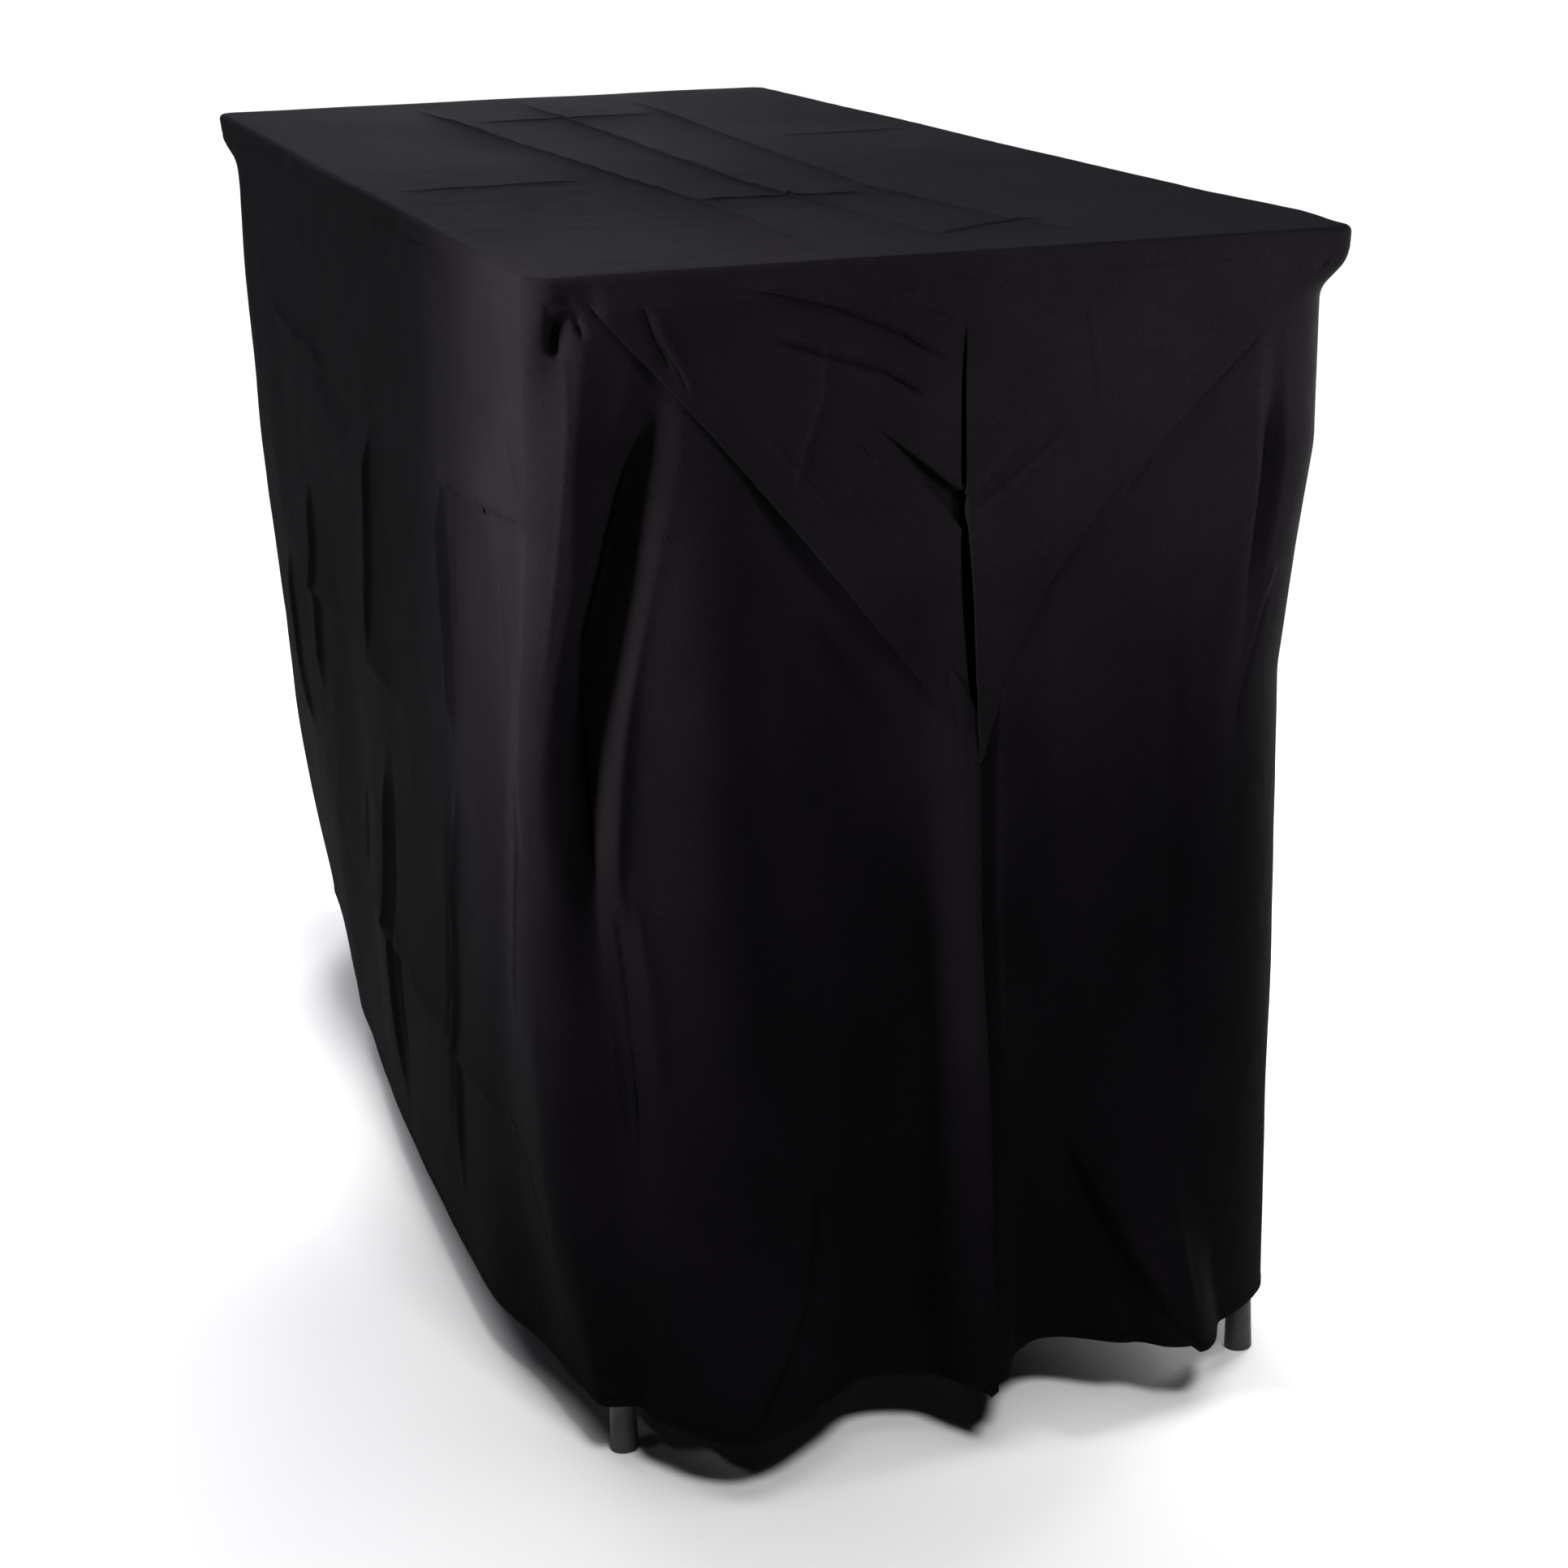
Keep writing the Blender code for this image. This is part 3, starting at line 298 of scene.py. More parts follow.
WRAP_STROKES = {
    "packing crease A on the end": (at(near, (-0.352, 0.884), (-0.300, 0.876), (-0.236, 0.876)), "tent", 0.003, -0.0022),
    "nick on crease A": (at(near, (-0.345, 0.862), (-0.338, 0.858), (-0.332, 0.861)), "nick", 0.004, -0.004),
    "packing crease B on the end": (at(near, (-0.092, 0.590), (-0.060, 0.583), (-0.032, 0.585)), "tent", 0.0028, 0.0014),
    "packing crease C on the end": (at(near, (-0.115, 0.300), (-0.050, 0.295), (0.010, 0.297)), "tent", 0.0028, 0.0012),
    "packing crease C, right part": (at(near, (0.030, 0.296), (0.090, 0.292), (0.158, 0.296)), "tent", 0.0028, 0.0012),
    "crest down corner N": ([(-0.026, 0.560), (-0.022, 0.658), (-0.010, 0.728), (0.001, 0.797), (0.011, 0.865), (0.019, 0.933), (0.025, 0.986), (0.028, 1.033), (0.028, 1.070)], "ridge", 0.032, 0.0105),
    "edge of that crest": ([(-0.006, 0.728), (0.004, 0.797), (0.014, 0.865), (0.022, 0.933), (0.028, 0.986), (0.031, 1.033), (0.031, 1.064)], "tent", 0.0045, 0.0018),
    "hollow at the top of the crest": (at(near, (-0.345, 1.082), (-0.348, 1.068), (-0.352, 1.052), (-0.357, 1.032)), "dent", 0.0100, -0.0130),
    "curl round the top of the crest": (at(near, (-0.352, 1.092), (-0.341, 1.084), (-0.334, 1.070), (-0.326, 1.046)), "nick", 0.0035, -0.0060),
    "floor of the valley beside corner N": (at(near, (-0.262, 1.000), (-0.278, 0.960), (-0.292, 0.917), (-0.309, 0.848), (-0.330, 0.779), (-0.341, 0.709), (-0.342, 0.636), (-0.340, 0.560)), "dent", 0.0105, -0.0220),
    "near lip of that valley": (at(near, (-0.262, 0.979), (-0.271, 0.925), (-0.284, 0.857), (-0.298, 0.789), (-0.307, 0.719), (-0.314, 0.648), (-0.322, 0.576), (-0.316, 0.465)), "ridge", 0.010, 0.0040),
    "pinch below the valley": (at(near, (-0.334, 0.600), (-0.326, 0.570), (-0.316, 0.540), (-0.308, 0.470), (-0.305, 0.400), (-0.308, 0.270)), "nick", 0.0055, -0.0060),
    "crest beside the pinch": (at(near, (-0.322, 0.590), (-0.306, 0.545), (-0.294, 0.470), (-0.292, 0.380)), "ridge", 0.010, 0.0030),
    "low fold on the left": (at(near, (-0.153, 0.300), (-0.153, 0.250), (-0.160, 0.180), (-0.187, 0.122), (-0.238, 0.056)), "step", 0.050, -0.0100),
    "low fold line on the left": (at(near, (-0.154, 0.290), (-0.152, 0.224), (-0.160, 0.172), (-0.187, 0.122), (-0.236, 0.060)), "nick", 0.0060, -0.0100),
    "low fold on the right": (at(near, (0.092, 0.290), (0.120, 0.226), (0.153, 0.165), (0.205, 0.083), (0.236, 0.058)), "step", 0.040, 0.0120),
    "low fold line on the right": (at(near, (0.096, 0.272), (0.153, 0.160), (0.209, 0.074)), "nick", 0.0060, -0.0050),
    "parallel fold on the right": (at(near, (0.112, 0.280), (0.140, 0.236), (0.170, 0.194)), "ridge", 0.007, 0.0020),
    "line under the hollow": (at(near, (-0.150, 0.800), (-0.110, 0.740), (-0.070, 0.690), (-0.020, 0.640)), "dent", 0.018, -0.0060),
    "long soft fold of the left wrap": (at(near, (-0.200, 0.900), (-0.190, 0.700), (-0.180, 0.450), (-0.170, 0.320)), "dent", 0.022, -0.0035),
    "soft swell of the left wrap": (at(near, (-0.128, 0.640), (-0.120, 0.480), (-0.118, 0.330)), "ridge", 0.024, 0.0030),
    "soft fold right of the middle": (at(near, (0.050, 0.560), (0.054, 0.400), (0.060, 0.300)), "dent", 0.018, -0.0040),
    "soft fold by corner R": (at(near, (0.215, 0.800), (0.210, 0.600), (0.205, 0.400), (0.215, 0.250)), "dent", 0.024, -0.0040),
    "sharp fold by corner R": (at(near, (0.301, 0.960), (0.304, 0.900), (0.306, 0.820), (0.300, 0.760)), "nick", 0.0060, -0.0060),
    "fold below corner R": (at(near, (0.302, 0.770), (0.330, 0.780), (0.345, 0.800)), "ridge", 0.006, 0.0020),
    "slant below corner R": (at(near, (0.300, 0.640), (0.318, 0.700), (0.340, 0.776)), "nick", 0.0050, -0.0030),
    "foot of the open pleat": (at(near, (0.006, 0.738), (0.008, 0.715), (0.010, 0.690), (0.011, 0.662)), "nick", 0.0050, -0.0060),
    "short step at the V's right edge": (at(near, (0.150, 0.884), (0.163, 0.896), (0.178, 0.912)), "nick", 0.0035, -0.0030),
    "upright fold of the left side 1": (at(left, (-0.502, 0.873), (-0.499, 0.806), (-0.518, 0.705), (-0.526, 0.610)), "ridge", 0.0100, 0.0078),
    "upright fold 1, second line": (at(left, (-0.562, 0.872), (-0.556, 0.792), (-0.551, 0.712)), "ridge", 0.0060, 0.0022),
    "upright fold 1, lower": (at(left, (-0.551, 0.595), (-0.504, 0.459), (-0.492, 0.288), (-0.473, 0.169), (-0.477, 0.102)), "ridge", 0.0085, 0.0056),
    "upright fold 1, far dip": (at(left, (-0.518, 0.587), (-0.470, 0.449), (-0.452, 0.274), (-0.433, 0.153)), "dent", 0.0120, -0.0030),
    "upright fold 2": (at(left, (-0.109, 0.858), (-0.105, 0.762), (-0.084, 0.584)), "ridge", 0.0100, 0.0062),
    "upright fold 3": (at(left, (0.328, 0.726), (0.300, 0.647), (0.306, 0.452)), "ridge", 0.0110, 0.0066),
    "upright fold 4": (at(left, (0.530, 0.602), (0.507, 0.444), (0.404, 0.388)), "ridge", 0.0110, 0.0060),
    "upright fold 5": (at(left, (-0.160, 0.523), (-0.114, 0.301), (-0.126, 0.216), (-0.159, 0.090)), "ridge", 0.0100, 0.0066),
    "upright fold 5, dark side": (at(left, (-0.195, 0.532), (-0.156, 0.314), (-0.168, 0.231), (-0.191, 0.137)), "dent", 0.0120, -0.0036),
    "upright fold 6": (at(left, (0.024, 0.426), (0.035, 0.319)), "ridge", 0.0080, 0.0030),
    "fine line by the ridge": (at(left, (-0.841, 0.699), (-0.830, 0.605), (-0.761, 0.401)), "tent", 0.0040, 0.0026),
    "slant pucker of the left side": (at(left, (-0.653, 0.595), (-0.727, 0.598), (-0.815, 0.607)), "ridge", 0.0080, 0.0024),
    "wavy line 1 by corner N": (at(left, (-0.794, 0.953), (-0.821, 0.931), (-0.864, 0.911)), "ridge", 0.0050, 0.0014),
    "wavy line 2 by corner N": (at(left, (-0.799, 0.832), (-0.800, 0.777)), "ridge", 0.0050, 0.0012),
    "wavy line 3 by corner N": (at(left, (-0.747, 0.831), (-0.752, 0.766), (-0.760, 0.716)), "ridge", 0.0045, 0.0010),
    "low line of the left side": (at(left, (-0.662, 0.312), (-0.755, 0.266), (-0.806, 0.190)), "tent", 0.0050, 0.0014),
    "low fold of the left side": (at(left, (-0.163, 0.090), (-0.296, 0.111), (-0.456, 0.147)), "ridge", 0.0090, 0.0030),
    "slant wave of the left side": (at(left, (0.30, 0.90), (0.02, 0.84), (-0.30, 0.875)), "dent", 0.030, -0.0030),
    "line under the table's edge, left": (at(left, (0.80, 1.072), (0.36, 1.074), (-0.06, 1.076), (-0.42, 1.079), (-0.70, 1.082), (-0.86, 1.088)), "nick", 0.0035, -0.0022),
    "step under the table's edge, left": (at(left, (0.82, 1.060), (0.36, 1.062), (-0.06, 1.064), (-0.42, 1.068), (-0.66, 1.074)), "ridge", 0.0070, 0.0016),
    "packing crease A, near part": (at(left, (-0.470, 0.862), (-0.618, 0.871), (-0.759, 0.882), (-0.919, 0.896)), "step", 0.0300, 0.0078),
    "packing crease A, far part": (at(left, (0.653, 0.911), (0.497, 0.898), (0.363, 0.887), (0.192, 0.876), (0.042, 0.872), (-0.119, 0.875)), "tent", 0.0060, 0.0055),
    "packing crease B of the left side": (at(left, (0.555, 0.605), (0.346, 0.591), (0.082, 0.589), (-0.114, 0.587), (-0.291, 0.582)), "step", 0.0300, 0.0078),
    "packing crease C of the left side": (at(left, (0.325, 0.312), (0.123, 0.293), (-0.089, 0.298), (-0.275, 0.286), (-0.470, 0.280), (-0.608, 0.283), (-0.737, 0.290)), "step", 0.0300, 0.0078),
    "upright fold of the right side": (at(right, (-0.20, 0.90), (-0.20, 0.60), (-0.19, 0.20)), "tent", 0.006, 0.0020),
    "second upright fold of the right side": (at(right, (0.20, 0.95), (0.205, 0.60), (0.21, 0.15)), "tent", 0.006, 0.0020),
    "third upright fold of the right side": (at(right, (0.58, 0.90), (0.58, 0.50), (0.585, 0.20)), "ridge", 0.008, 0.0020),
    "left slant of the far end": (at(far, (0.17, 0.50), (0.18, 0.30), (0.23, 0.10)), "step", 0.040, 0.0060),
    "right slant of the far end": (at(far, (-0.17, 0.52), (-0.18, 0.32), (-0.24, 0.10)), "step", 0.040, -0.0060),
}
for name, z in (("A", 0.875), ("B", 0.618), ("C", 0.380)):
    WRAP_STROKES[f"packing crease {name} of the right side"] = (at(right, (-0.80, z), (0.0, z + 0.004), (0.80, z)), "tent", 0.0060, 0.0016)
    WRAP_STROKES[f"packing crease {name} of the far end"] = (at(far, (0.30, z), (0.0, z + 0.004), (-0.30, z)), "tent", 0.0060, 0.0014)

TOP_STROKES = {
    "long crease 1": ([(-0.132, 0.880), (-0.118, 0.200), (-0.100, -0.350), (-0.090, -0.896)], "tent", 0.0055, 0.0046),
    "long crease 2": ([(0.017, 0.880), (0.004, 0.300), (-0.008, -0.300), (0.012, -0.640), (0.037, -0.896)], "tent", 0.0055, 0.0046),
    "long crease 3": ([(0.160, 0.880), (0.120, 0.200), (0.090, -0.400), (0.120, -0.700), (0.167, -0.896)], "tent", 0.0055, 0.0042),
    "cross crease 1": ([(-0.110, -0.415), (0.000, -0.425), (0.095, -0.430)], "tent", 0.0055, 0.0026),
    "cross crease 2": ([(0.010, -0.790), (0.080, -0.740), (0.160, -0.700)], "tent", 0.0055, 0.0026),
    "cross crease 3": ([(0.160, 0.180), (0.250, 0.190), (0.350, 0.200)], "tent", 0.0055, 0.0014),
    "cross crease 4": ([(-0.350, -0.180), (-0.240, -0.185), (-0.120, -0.180)], "tent", 0.0055, 0.0014),
    "cross crease 5": ([(-0.120, 0.560), (0.010, 0.565), (0.140, 0.560)], "tent", 0.0055, 0.0014),
}


def strokes(u, v, table):
    """The height that the creases of a table give at points (u, v), and nothing elsewhere."""
    out = np.zeros_like(u)
    for points, profile, width, height in table.values():
        reach = 4.5 * width
        p = np.array(points, float)
        near_it = (u > p[:, 0].min() - reach) & (u < p[:, 0].max() + reach) & (v > p[:, 1].min() - reach) & (v < p[:, 1].max() + reach)
        if not near_it.any():
            continue
        a, b = u[near_it], v[near_it]
        best, side, t_best = np.full(a.shape, 9.0), np.zeros(a.shape), np.zeros(a.shape)
        lengths = np.hypot(*(p[1:] - p[:-1]).T)
        starts = np.concatenate([[0], np.cumsum(lengths)]) / lengths.sum()
        for k, (q, r) in enumerate(zip(p, p[1:])):
            d = r - q
            t = ((a - q[0]) * d[0] + (b - q[1]) * d[1]) / (d @ d)
            first, last = (-9 if k == 0 else 0), (9 if k == len(p) - 2 else 1)
            c = np.clip(t, 0, 1)
            gap = np.hypot(a - q[0] - c * d[0], b - q[1] - c * d[1])
            cross = (d[0] * (b - q[1]) - d[1] * (a - q[0])) / math.hypot(*d)
            closer = gap < best
            best = np.where(closer, gap, best)
            side = np.where(closer, cross, side)
            t_best = np.where(closer, starts[k] + np.clip(t, first, last) * (starts[k + 1] - starts[k]), t_best)
        fade = ease(np.minimum(t_best, 1 - t_best) / 0.22) * np.where(best < reach, 1, 0)
        if profile in ("ridge", "dent"):
            shape = np.exp(-((best / width) ** 2))
        elif profile in ("tent", "nick"):
            shape = np.exp(-best / width * 1.6)
        else:  # a step, with its rise spread over a tenth of the width
            shape = ease(side / (0.10 * width) + 0.5) * np.exp(-np.maximum(side, 0) / width) * np.exp(-np.maximum(best - np.abs(side), 0) / (0.3 * width))
        out[near_it] += height * shape * fade
    return out


def flat_noise(u, v, seed):
    return 0.0007 * ripple(u / 0.16, v / 0.45, seed) + 0.00009 * ripple(u / 0.030, v / 0.070, seed + 1)


def wrap_out(s, h):
    """How far the skirt stands off the table's outline."""
    s_wrapped = round_the_table(s)
    out = wrap_free(s, h)
    # under the V it keeps behind the flaps
    for x, sides in ((s_wrapped - HALF_X, (V_NEAR_LEFT, V_NEAR_RIGHT)), (MID_FAR - np.mod(s, ROUND), (V_FAR, V_FAR))):
        share = flap_share(x, sides) * (np.abs(x) < HALF_X)
        under = ease((v_depth(x, sides) + 0.006 - h) / 0.012) * (share > 0)
        flap = out * (1 - share) + flap_flat(out, h) * share
        behind = 0.0048 * ease(share * 3) + 0.0025 * tight(x, h, sides)
        out = out * (1 - under) + np.minimum(out, flap - behind * ease(share * 3)) * under
    return out


def wrap_free(s, h):
    """The skirt as it would hang with no V over it."""
    s_wrapped = round_the_table(s)
    fade = ease((h - 0.008) / 0.020)
    out = swing(s, h) + flat_noise(s_wrapped, h, 11) * fade
    for shift in (0.0, ROUND):
        out = out + strokes(s_wrapped + shift, Z_TOP - h, WRAP_STROKES) * fade
    # the panel's edge is behind it
    return np.maximum(out, -0.0022 - 1.2 * np.maximum(h - 0.031, 0))


def hem_lift(s, h):
    rows = np.array(HEM_RISE)
    rise = np.interp(round_the_table(s), rows[:, 0], rows[:, 1]) + 0.0012 * ripple(round_the_table(s) / 0.5, h * 0, 5)
    return rise * ease((h - 0.55) / 0.48)


def wide_of_the_edge(s):
    out = np.zeros_like(s)
    for middle, before, after, size in WIDE_OF_THE_EDGE:
        off = round_the_table(s - middle)
        out += size * np.clip(1 - (off / np.where(off < 0, before, after)) ** 2, 0, 1) ** 2
    return out


def flap_flat(skirt, h):
    return (0.0055 + 0.35 * np.maximum(skirt, 0) + 0.006 * np.clip(h / 0.45, 0, 1) ** 2) * np.clip(h / 0.03, 0, 1)


def tight(x, h, sides):
    """1 where the V lies tight on the skirt: along its right edge and at its tip."""
    gap = v_depth(x, sides) - h
    by_the_edge = np.exp(-np.maximum(gap, 0) / 0.045) * ease((x - 0.004) / 0.02) * (sides[0] is V_NEAR_LEFT)
    return np.clip(np.maximum(by_the_edge, ease((h - 0.385) / 0.06)), 0, 1)


def flap_share(x, sides):
    """0 where the V has not parted from the skirt yet, 1 where it is a flap of its own."""
    return ease((v_depth(x, sides) - BAND) / 0.020)


def flap_out(x, h, sides, skirt, table, seed):
    z = Z_TOP - h
    out = flap_flat(skirt, h)
    close = tight(x, h, sides)
    out = out * (1 - close) + np.minimum(out, skirt + 0.0030) * close
    # the two halves fall towards the pleat
    out = out - 0.0055 * np.exp(-((x / 0.075) ** 2)) * ease(h / 0.12) * ease((0.47 - h) / 0.1)
    fade = ease((h - 0.004) / 0.02)
    out = out + strokes(x + HALF_X, z, table) * fade + 0.8 * flat_noise(x, h, seed) * fade
    if table:
        out = out - pocket(x, z)
    return out


POCKET = [(-0.086, 0.966), (0.001, 0.896), (-0.004, 0.869)]  # tip, upper right and lower right of the gaping tuck


def pocket(x, z):
    """The gaping tuck beside the pleat: a sunk triangle with a crisp upper lip."""
    deep = np.ones_like(x)
    for (ax, az), (bx, bz), soft in ((POCKET[0], POCKET[2], 0.0022), (POCKET[1], POCKET[0], 0.0016)):
        inside = ((bx - ax) * (z - az) - (bz - az) * (x - ax)) / math.hypot(bx - ax, bz - az)
        deep = deep * ease(inside / soft + 0.5)
    return 0.0085 * deep * ease((x - POCKET[0][0]) / 0.06) * ease((0.0045 - x) / 0.003)


def wrap_points(s, h):
    x, y, nx, ny = outline(s, h)
    out = wrap_out(s, h) + wide_of_the_edge(s) * np.clip((0.085 - h) / 0.05, 0, 1)
    return np.stack([x + nx * out, y + ny * out, Z_TOP - h + hem_lift(s, h)], axis=-1)


def top_z(x, y):
    """Height of the cloth on the table: its creases stand up a little, and it bellies between them."""
    z = Z_TOP - 0.0010 + strokes(x, y, TOP_STROKES) + 0.0005 * ripple(x / 0.22, y / 0.30, 21) + 0.00012 * ripple(x / 0.05, y / 0.05, 22)
    return np.maximum(z, PANEL_HIGH[2] + 0.0004)


def band_points(s, q):
    """The rolled edge. q < 0 lies on the top, q > 0 is the depth."""
    h = np.maximum(q, 0)
    x, y, nx, ny = outline(s, h)
    lean = np.clip((EDGE_ROUND - h) / EDGE_ROUND, 0, 1)
    inset = EDGE_ROUND * (1 - np.sqrt(np.maximum(1 - lean**2, 0))) + np.maximum(-q, 0)
    s_wrapped = round_the_table(s)
    out = wrap_free(s, h)
    for middle, sides, table, seed in ((HALF_X, (V_NEAR_LEFT, V_NEAR_RIGHT), FLAP_STROKES, 31), (MID_FAR, (V_FAR, V_FAR), {}, 41)):
        place = (np.mod(s, ROUND) - middle) * (1 if middle == HALF_X else -1)
        here = np.abs(place) < HALF_X
        share = flap_share(place, sides) * here
        out = out * (1 - share) + flap_out(place, h, sides, swing(s, h), table, seed) * share
        # the pleat's line carries on up to the table's edge
        out = out - 0.0016 * np.exp(-np.abs(place - 0.004) / 0.0016) * ease((h - 0.004) / 0.01) * here
    out = out + wide_of_the_edge(s) * np.clip((0.085 - h) / 0.05, 0, 1) * (q > -0.002)
    out = out + 0.0006 * ripple(s_wrapped / 0.12, h * 0, 51) * ease(h / 0.006)
    px, py = x + nx * (out - inset), y + ny * (out - inset)
    lift = top_z(px, py) - Z_TOP
    return np.stack([px, py, Z_TOP - h + lift * np.clip(1 - h / BAND, 0, 1)], axis=-1)


# ---- turning parameter grids into meshes ----
def shape_normals(points):
    """Outward unit normals of a (columns, rows) grid of points: columns run with s, rows run down."""
    across, down = np.gradient(points, axis=0), np.gradient(points, axis=1)
    normal = np.cross(down, across)
    return normal / np.maximum(np.linalg.norm(normal, axis=-1, keepdims=True), 1e-12)


def unit(v):
    return v / np.maximum(np.linalg.norm(v, axis=-1, keepdims=True), 1e-12)


def fold_edge(points, normals, border, radius, inside, steps=5):
    """Adds a folded edge to a border of a grid: half a turn of this radius, then `inside` lengths back behind it."""
    if border == "bottom":
        last, normal = points[:, -1], normals[:, -1]
        edge = np.gradient(last, axis=0)
        ahead = unit(np.cross(unit(edge), normal))
        if (ahead * (points[:, -1] - points[:, -2])).sum() < 0:
            ahead = -ahead
    else:
        k = -1 if border == "right" else 0
        last, normal = points[k], normals[k]
        edge = np.gradient(last, axis=0)
        ahead = unit(np.cross(unit(edge), normal))
        if (ahead * (points[k] - points[-2 if k else 1])).sum() < 0:
            ahead = -ahead
    new_points, new_normals = [], []
    for i in range(1, steps + 1):
        turn = math.pi * i / steps
        new_points.append(last + radius * (math.sin(turn) * ahead - (1 - math.cos(turn)) * normal))
        new_normals.append(math.cos(turn) * normal + math.sin(turn) * ahead)
    for back in inside:
        new_points.append(last - back * ahead - 2 * radius * normal)
        new_normals.append(-normal)
    axis = 1 if border == "bottom" else 0
    new_points, new_normals = np.stack(new_points, axis=axis), np.stack(new_normals, axis=axis)
    if border == "left":
        return np.concatenate([new_points[::-1], points], axis=0), np.concatenate([new_normals[::-1], normals], axis=0)
    return np.concatenate([points, new_points], axis=axis), np.concatenate([normals, new_normals], axis=axis)


def deep_edge(points, normals, border, radius, depth):
    """A rounded edge that runs on straight inward, as the side of an open pleat."""
    k = -1 if border == "right" else 0
    last, normal = points[k], normals[k]
    ahead = unit(np.cross(unit(np.gradient(last, axis=0)), normal))
    if (ahead * (points[k] - points[-2 if k else 1])).sum() < 0:
        ahead = -ahead
    new_points, new_normals = [], []
    for i in range(1, 4):
        turn = math.pi / 2 * i / 3
        new_points.append(last + radius * (math.sin(turn) * ahead - (1 - math.cos(turn)) * normal))
        new_normals.append(math.cos(turn) * normal + math.sin(turn) * ahead)
    for share in (0.35, 1.0):
        new_points.append(last + radius * (ahead - normal) - share * depth * normal - 0.15 * share * depth * ahead)
        new_normals.append(ahead)
    new_points, new_normals = np.stack(new_points), np.stack(new_normals)
    if border == "left":
        return np.concatenate([new_points[::-1], points], axis=0), np.concatenate([new_normals[::-1], normals], axis=0)
    return np.concatenate([points, new_points], axis=0), np.concatenate([normals, new_normals], axis=0)


class Sheet:
    """Collects grids and triangles, then makes one smooth object with the shape's own normals."""

    def __init__(self):
        self.points, self.normals, self.uvs, self.faces, self.count = [], [], [], [], 0

    def grid(self, points, normals, uv):
        columns, rows = points.shape[:2]
        start = self.count
        self.points.append(points.reshape(-1, 3))
        self.normals.append(normals.reshape(-1, 3))
        self.uvs.append(uv.reshape(-1, 2))
        i, j = np.meshgrid(np.arange(columns - 1), np.arange(rows - 1), indexing="ij")
        a = start + i * rows + j
        quads = np.stack([a, a + 1, a + rows + 1, a + rows], axis=-1).reshape(-1, 4)
        self.faces += quads.tolist()
        self.count += columns * rows

    def loose(self, points, normals, uv, triangles):
        start = self.count
        self.points.append(points)
        self.normals.append(normals)
        self.uvs.append(uv)
        self.faces += (np.array(triangles) + start).tolist()
        self.count += len(points)

    def make(self, name, material):
        points, normals, uvs = np.concatenate(self.points), np.concatenate(self.normals), np.concatenate(self.uvs)
        mesh = bpy.data.meshes.new(name)
        mesh.from_pydata(points.tolist(), [], self.faces)
        layer = mesh.uv_layers.new(name="cloth")
        index = np.empty(len(mesh.loops), np.int32)
        mesh.loops.foreach_get("vertex_index", index)
        layer.data.foreach_set("uv", uvs[index].astype(np.float32).ravel())
        mesh.polygons.foreach_set("use_smooth", np.ones(len(mesh.polygons), bool))
        mesh.normals_split_custom_set_from_vertices(unit(normals).tolist())
        mesh.update()
        obj = bpy.data.objects.new(name, mesh)
        obj.data.materials.append(material)
        bpy.context.scene.collection.objects.link(obj)
        return obj


def pad(values):
    """One more value at each end, for slopes at the borders."""
    return np.concatenate([[2 * values[0] - values[1]], values, [2 * values[-1] - values[-2]]])


def trimmed(points):
    return points[1:-1, 1:-1], shape_normals(points)[1:-1, 1:-1]


def stations(*spans):
    """Values from spans of (start, stop, step)."""
    out = []
    for start, stop, step in spans:
        out.append(np.linspace(start, stop, max(2, int(round((stop - start) / step)) + 1))[:-1])
    out.append(np.array([spans[-1][1]]))
    return np.concatenate(out)


def add_skirt(sheet, s, top_of, rows, shape=wrap_points, folds=()):
    """A part of the skirt between two s: rows from top_of(s) to the hem, and the hem's fold under it."""
    s = pad(s)
    share = pad(np.linspace(0, 1, rows))
    top = top_of(s)
    body = top[:, None] + share[None, :-1] * (DROP - 0.0105 - top[:, None])
    hem = np.array([DROP - 0.0088, DROP - 0.0074, DROP - 0.0066, DROP - 0.0058, DROP - 0.0035, DROP - 0.0012, DROP, DROP + 0.001])
    h = np.concatenate([body, np.repeat(hem[None], len(s), axis=0)], axis=1)
    s2 = np.repeat(s[:, None], h.shape[1], axis=1)
    points = shape(s2, h)
    points, normals = trimmed(points)
    s2, h = s2[1:-1, 1:-1], h[1:-1, 1:-1]
    # the hem is two layers more
    thick = ease((h - (DROP - HEM_WIDTH - 0.0004)) / 0.0008) * 0.0005
    points = points + normals * thick[..., None]
    points, normals = fold_edge(points, normals, "bottom", HEM_FOLD, (0.006, 0.0085))
    extra = points.shape[1] - h.shape[1]
    h = np.concatenate([h, DROP + 0.0005 * np.arange(1, extra + 1)[None].repeat(len(h), 0)], axis=1)
    s2 = np.concatenate([s2, s2[:, -1:].repeat(extra, 1)], axis=1)
    for border in folds:
        points, normals = fold_edge(points, normals, border, HEM_FOLD, (0.006, 0.0085))
        extra = points.shape[0] - h.shape[0]
        if border == "right":
            s2 = np.concatenate([s2, s2[-1:] + 0.0005 * np.arange(1, extra + 1)[:, None]], axis=0)
            h = np.concatenate([h, h[-1:].repeat(extra, 0)], axis=0)
        else:
            s2 = np.concatenate([s2[:1] - 0.0005 * np.arange(extra, 0, -1)[:, None], s2], axis=0)
            h = np.concatenate([h[:1].repeat(extra, 0), h], axis=0)
    sheet.grid(points, normals, np.stack([s2, h], axis=-1))


def band_top(s):
    return np.full_like(s, BAND)


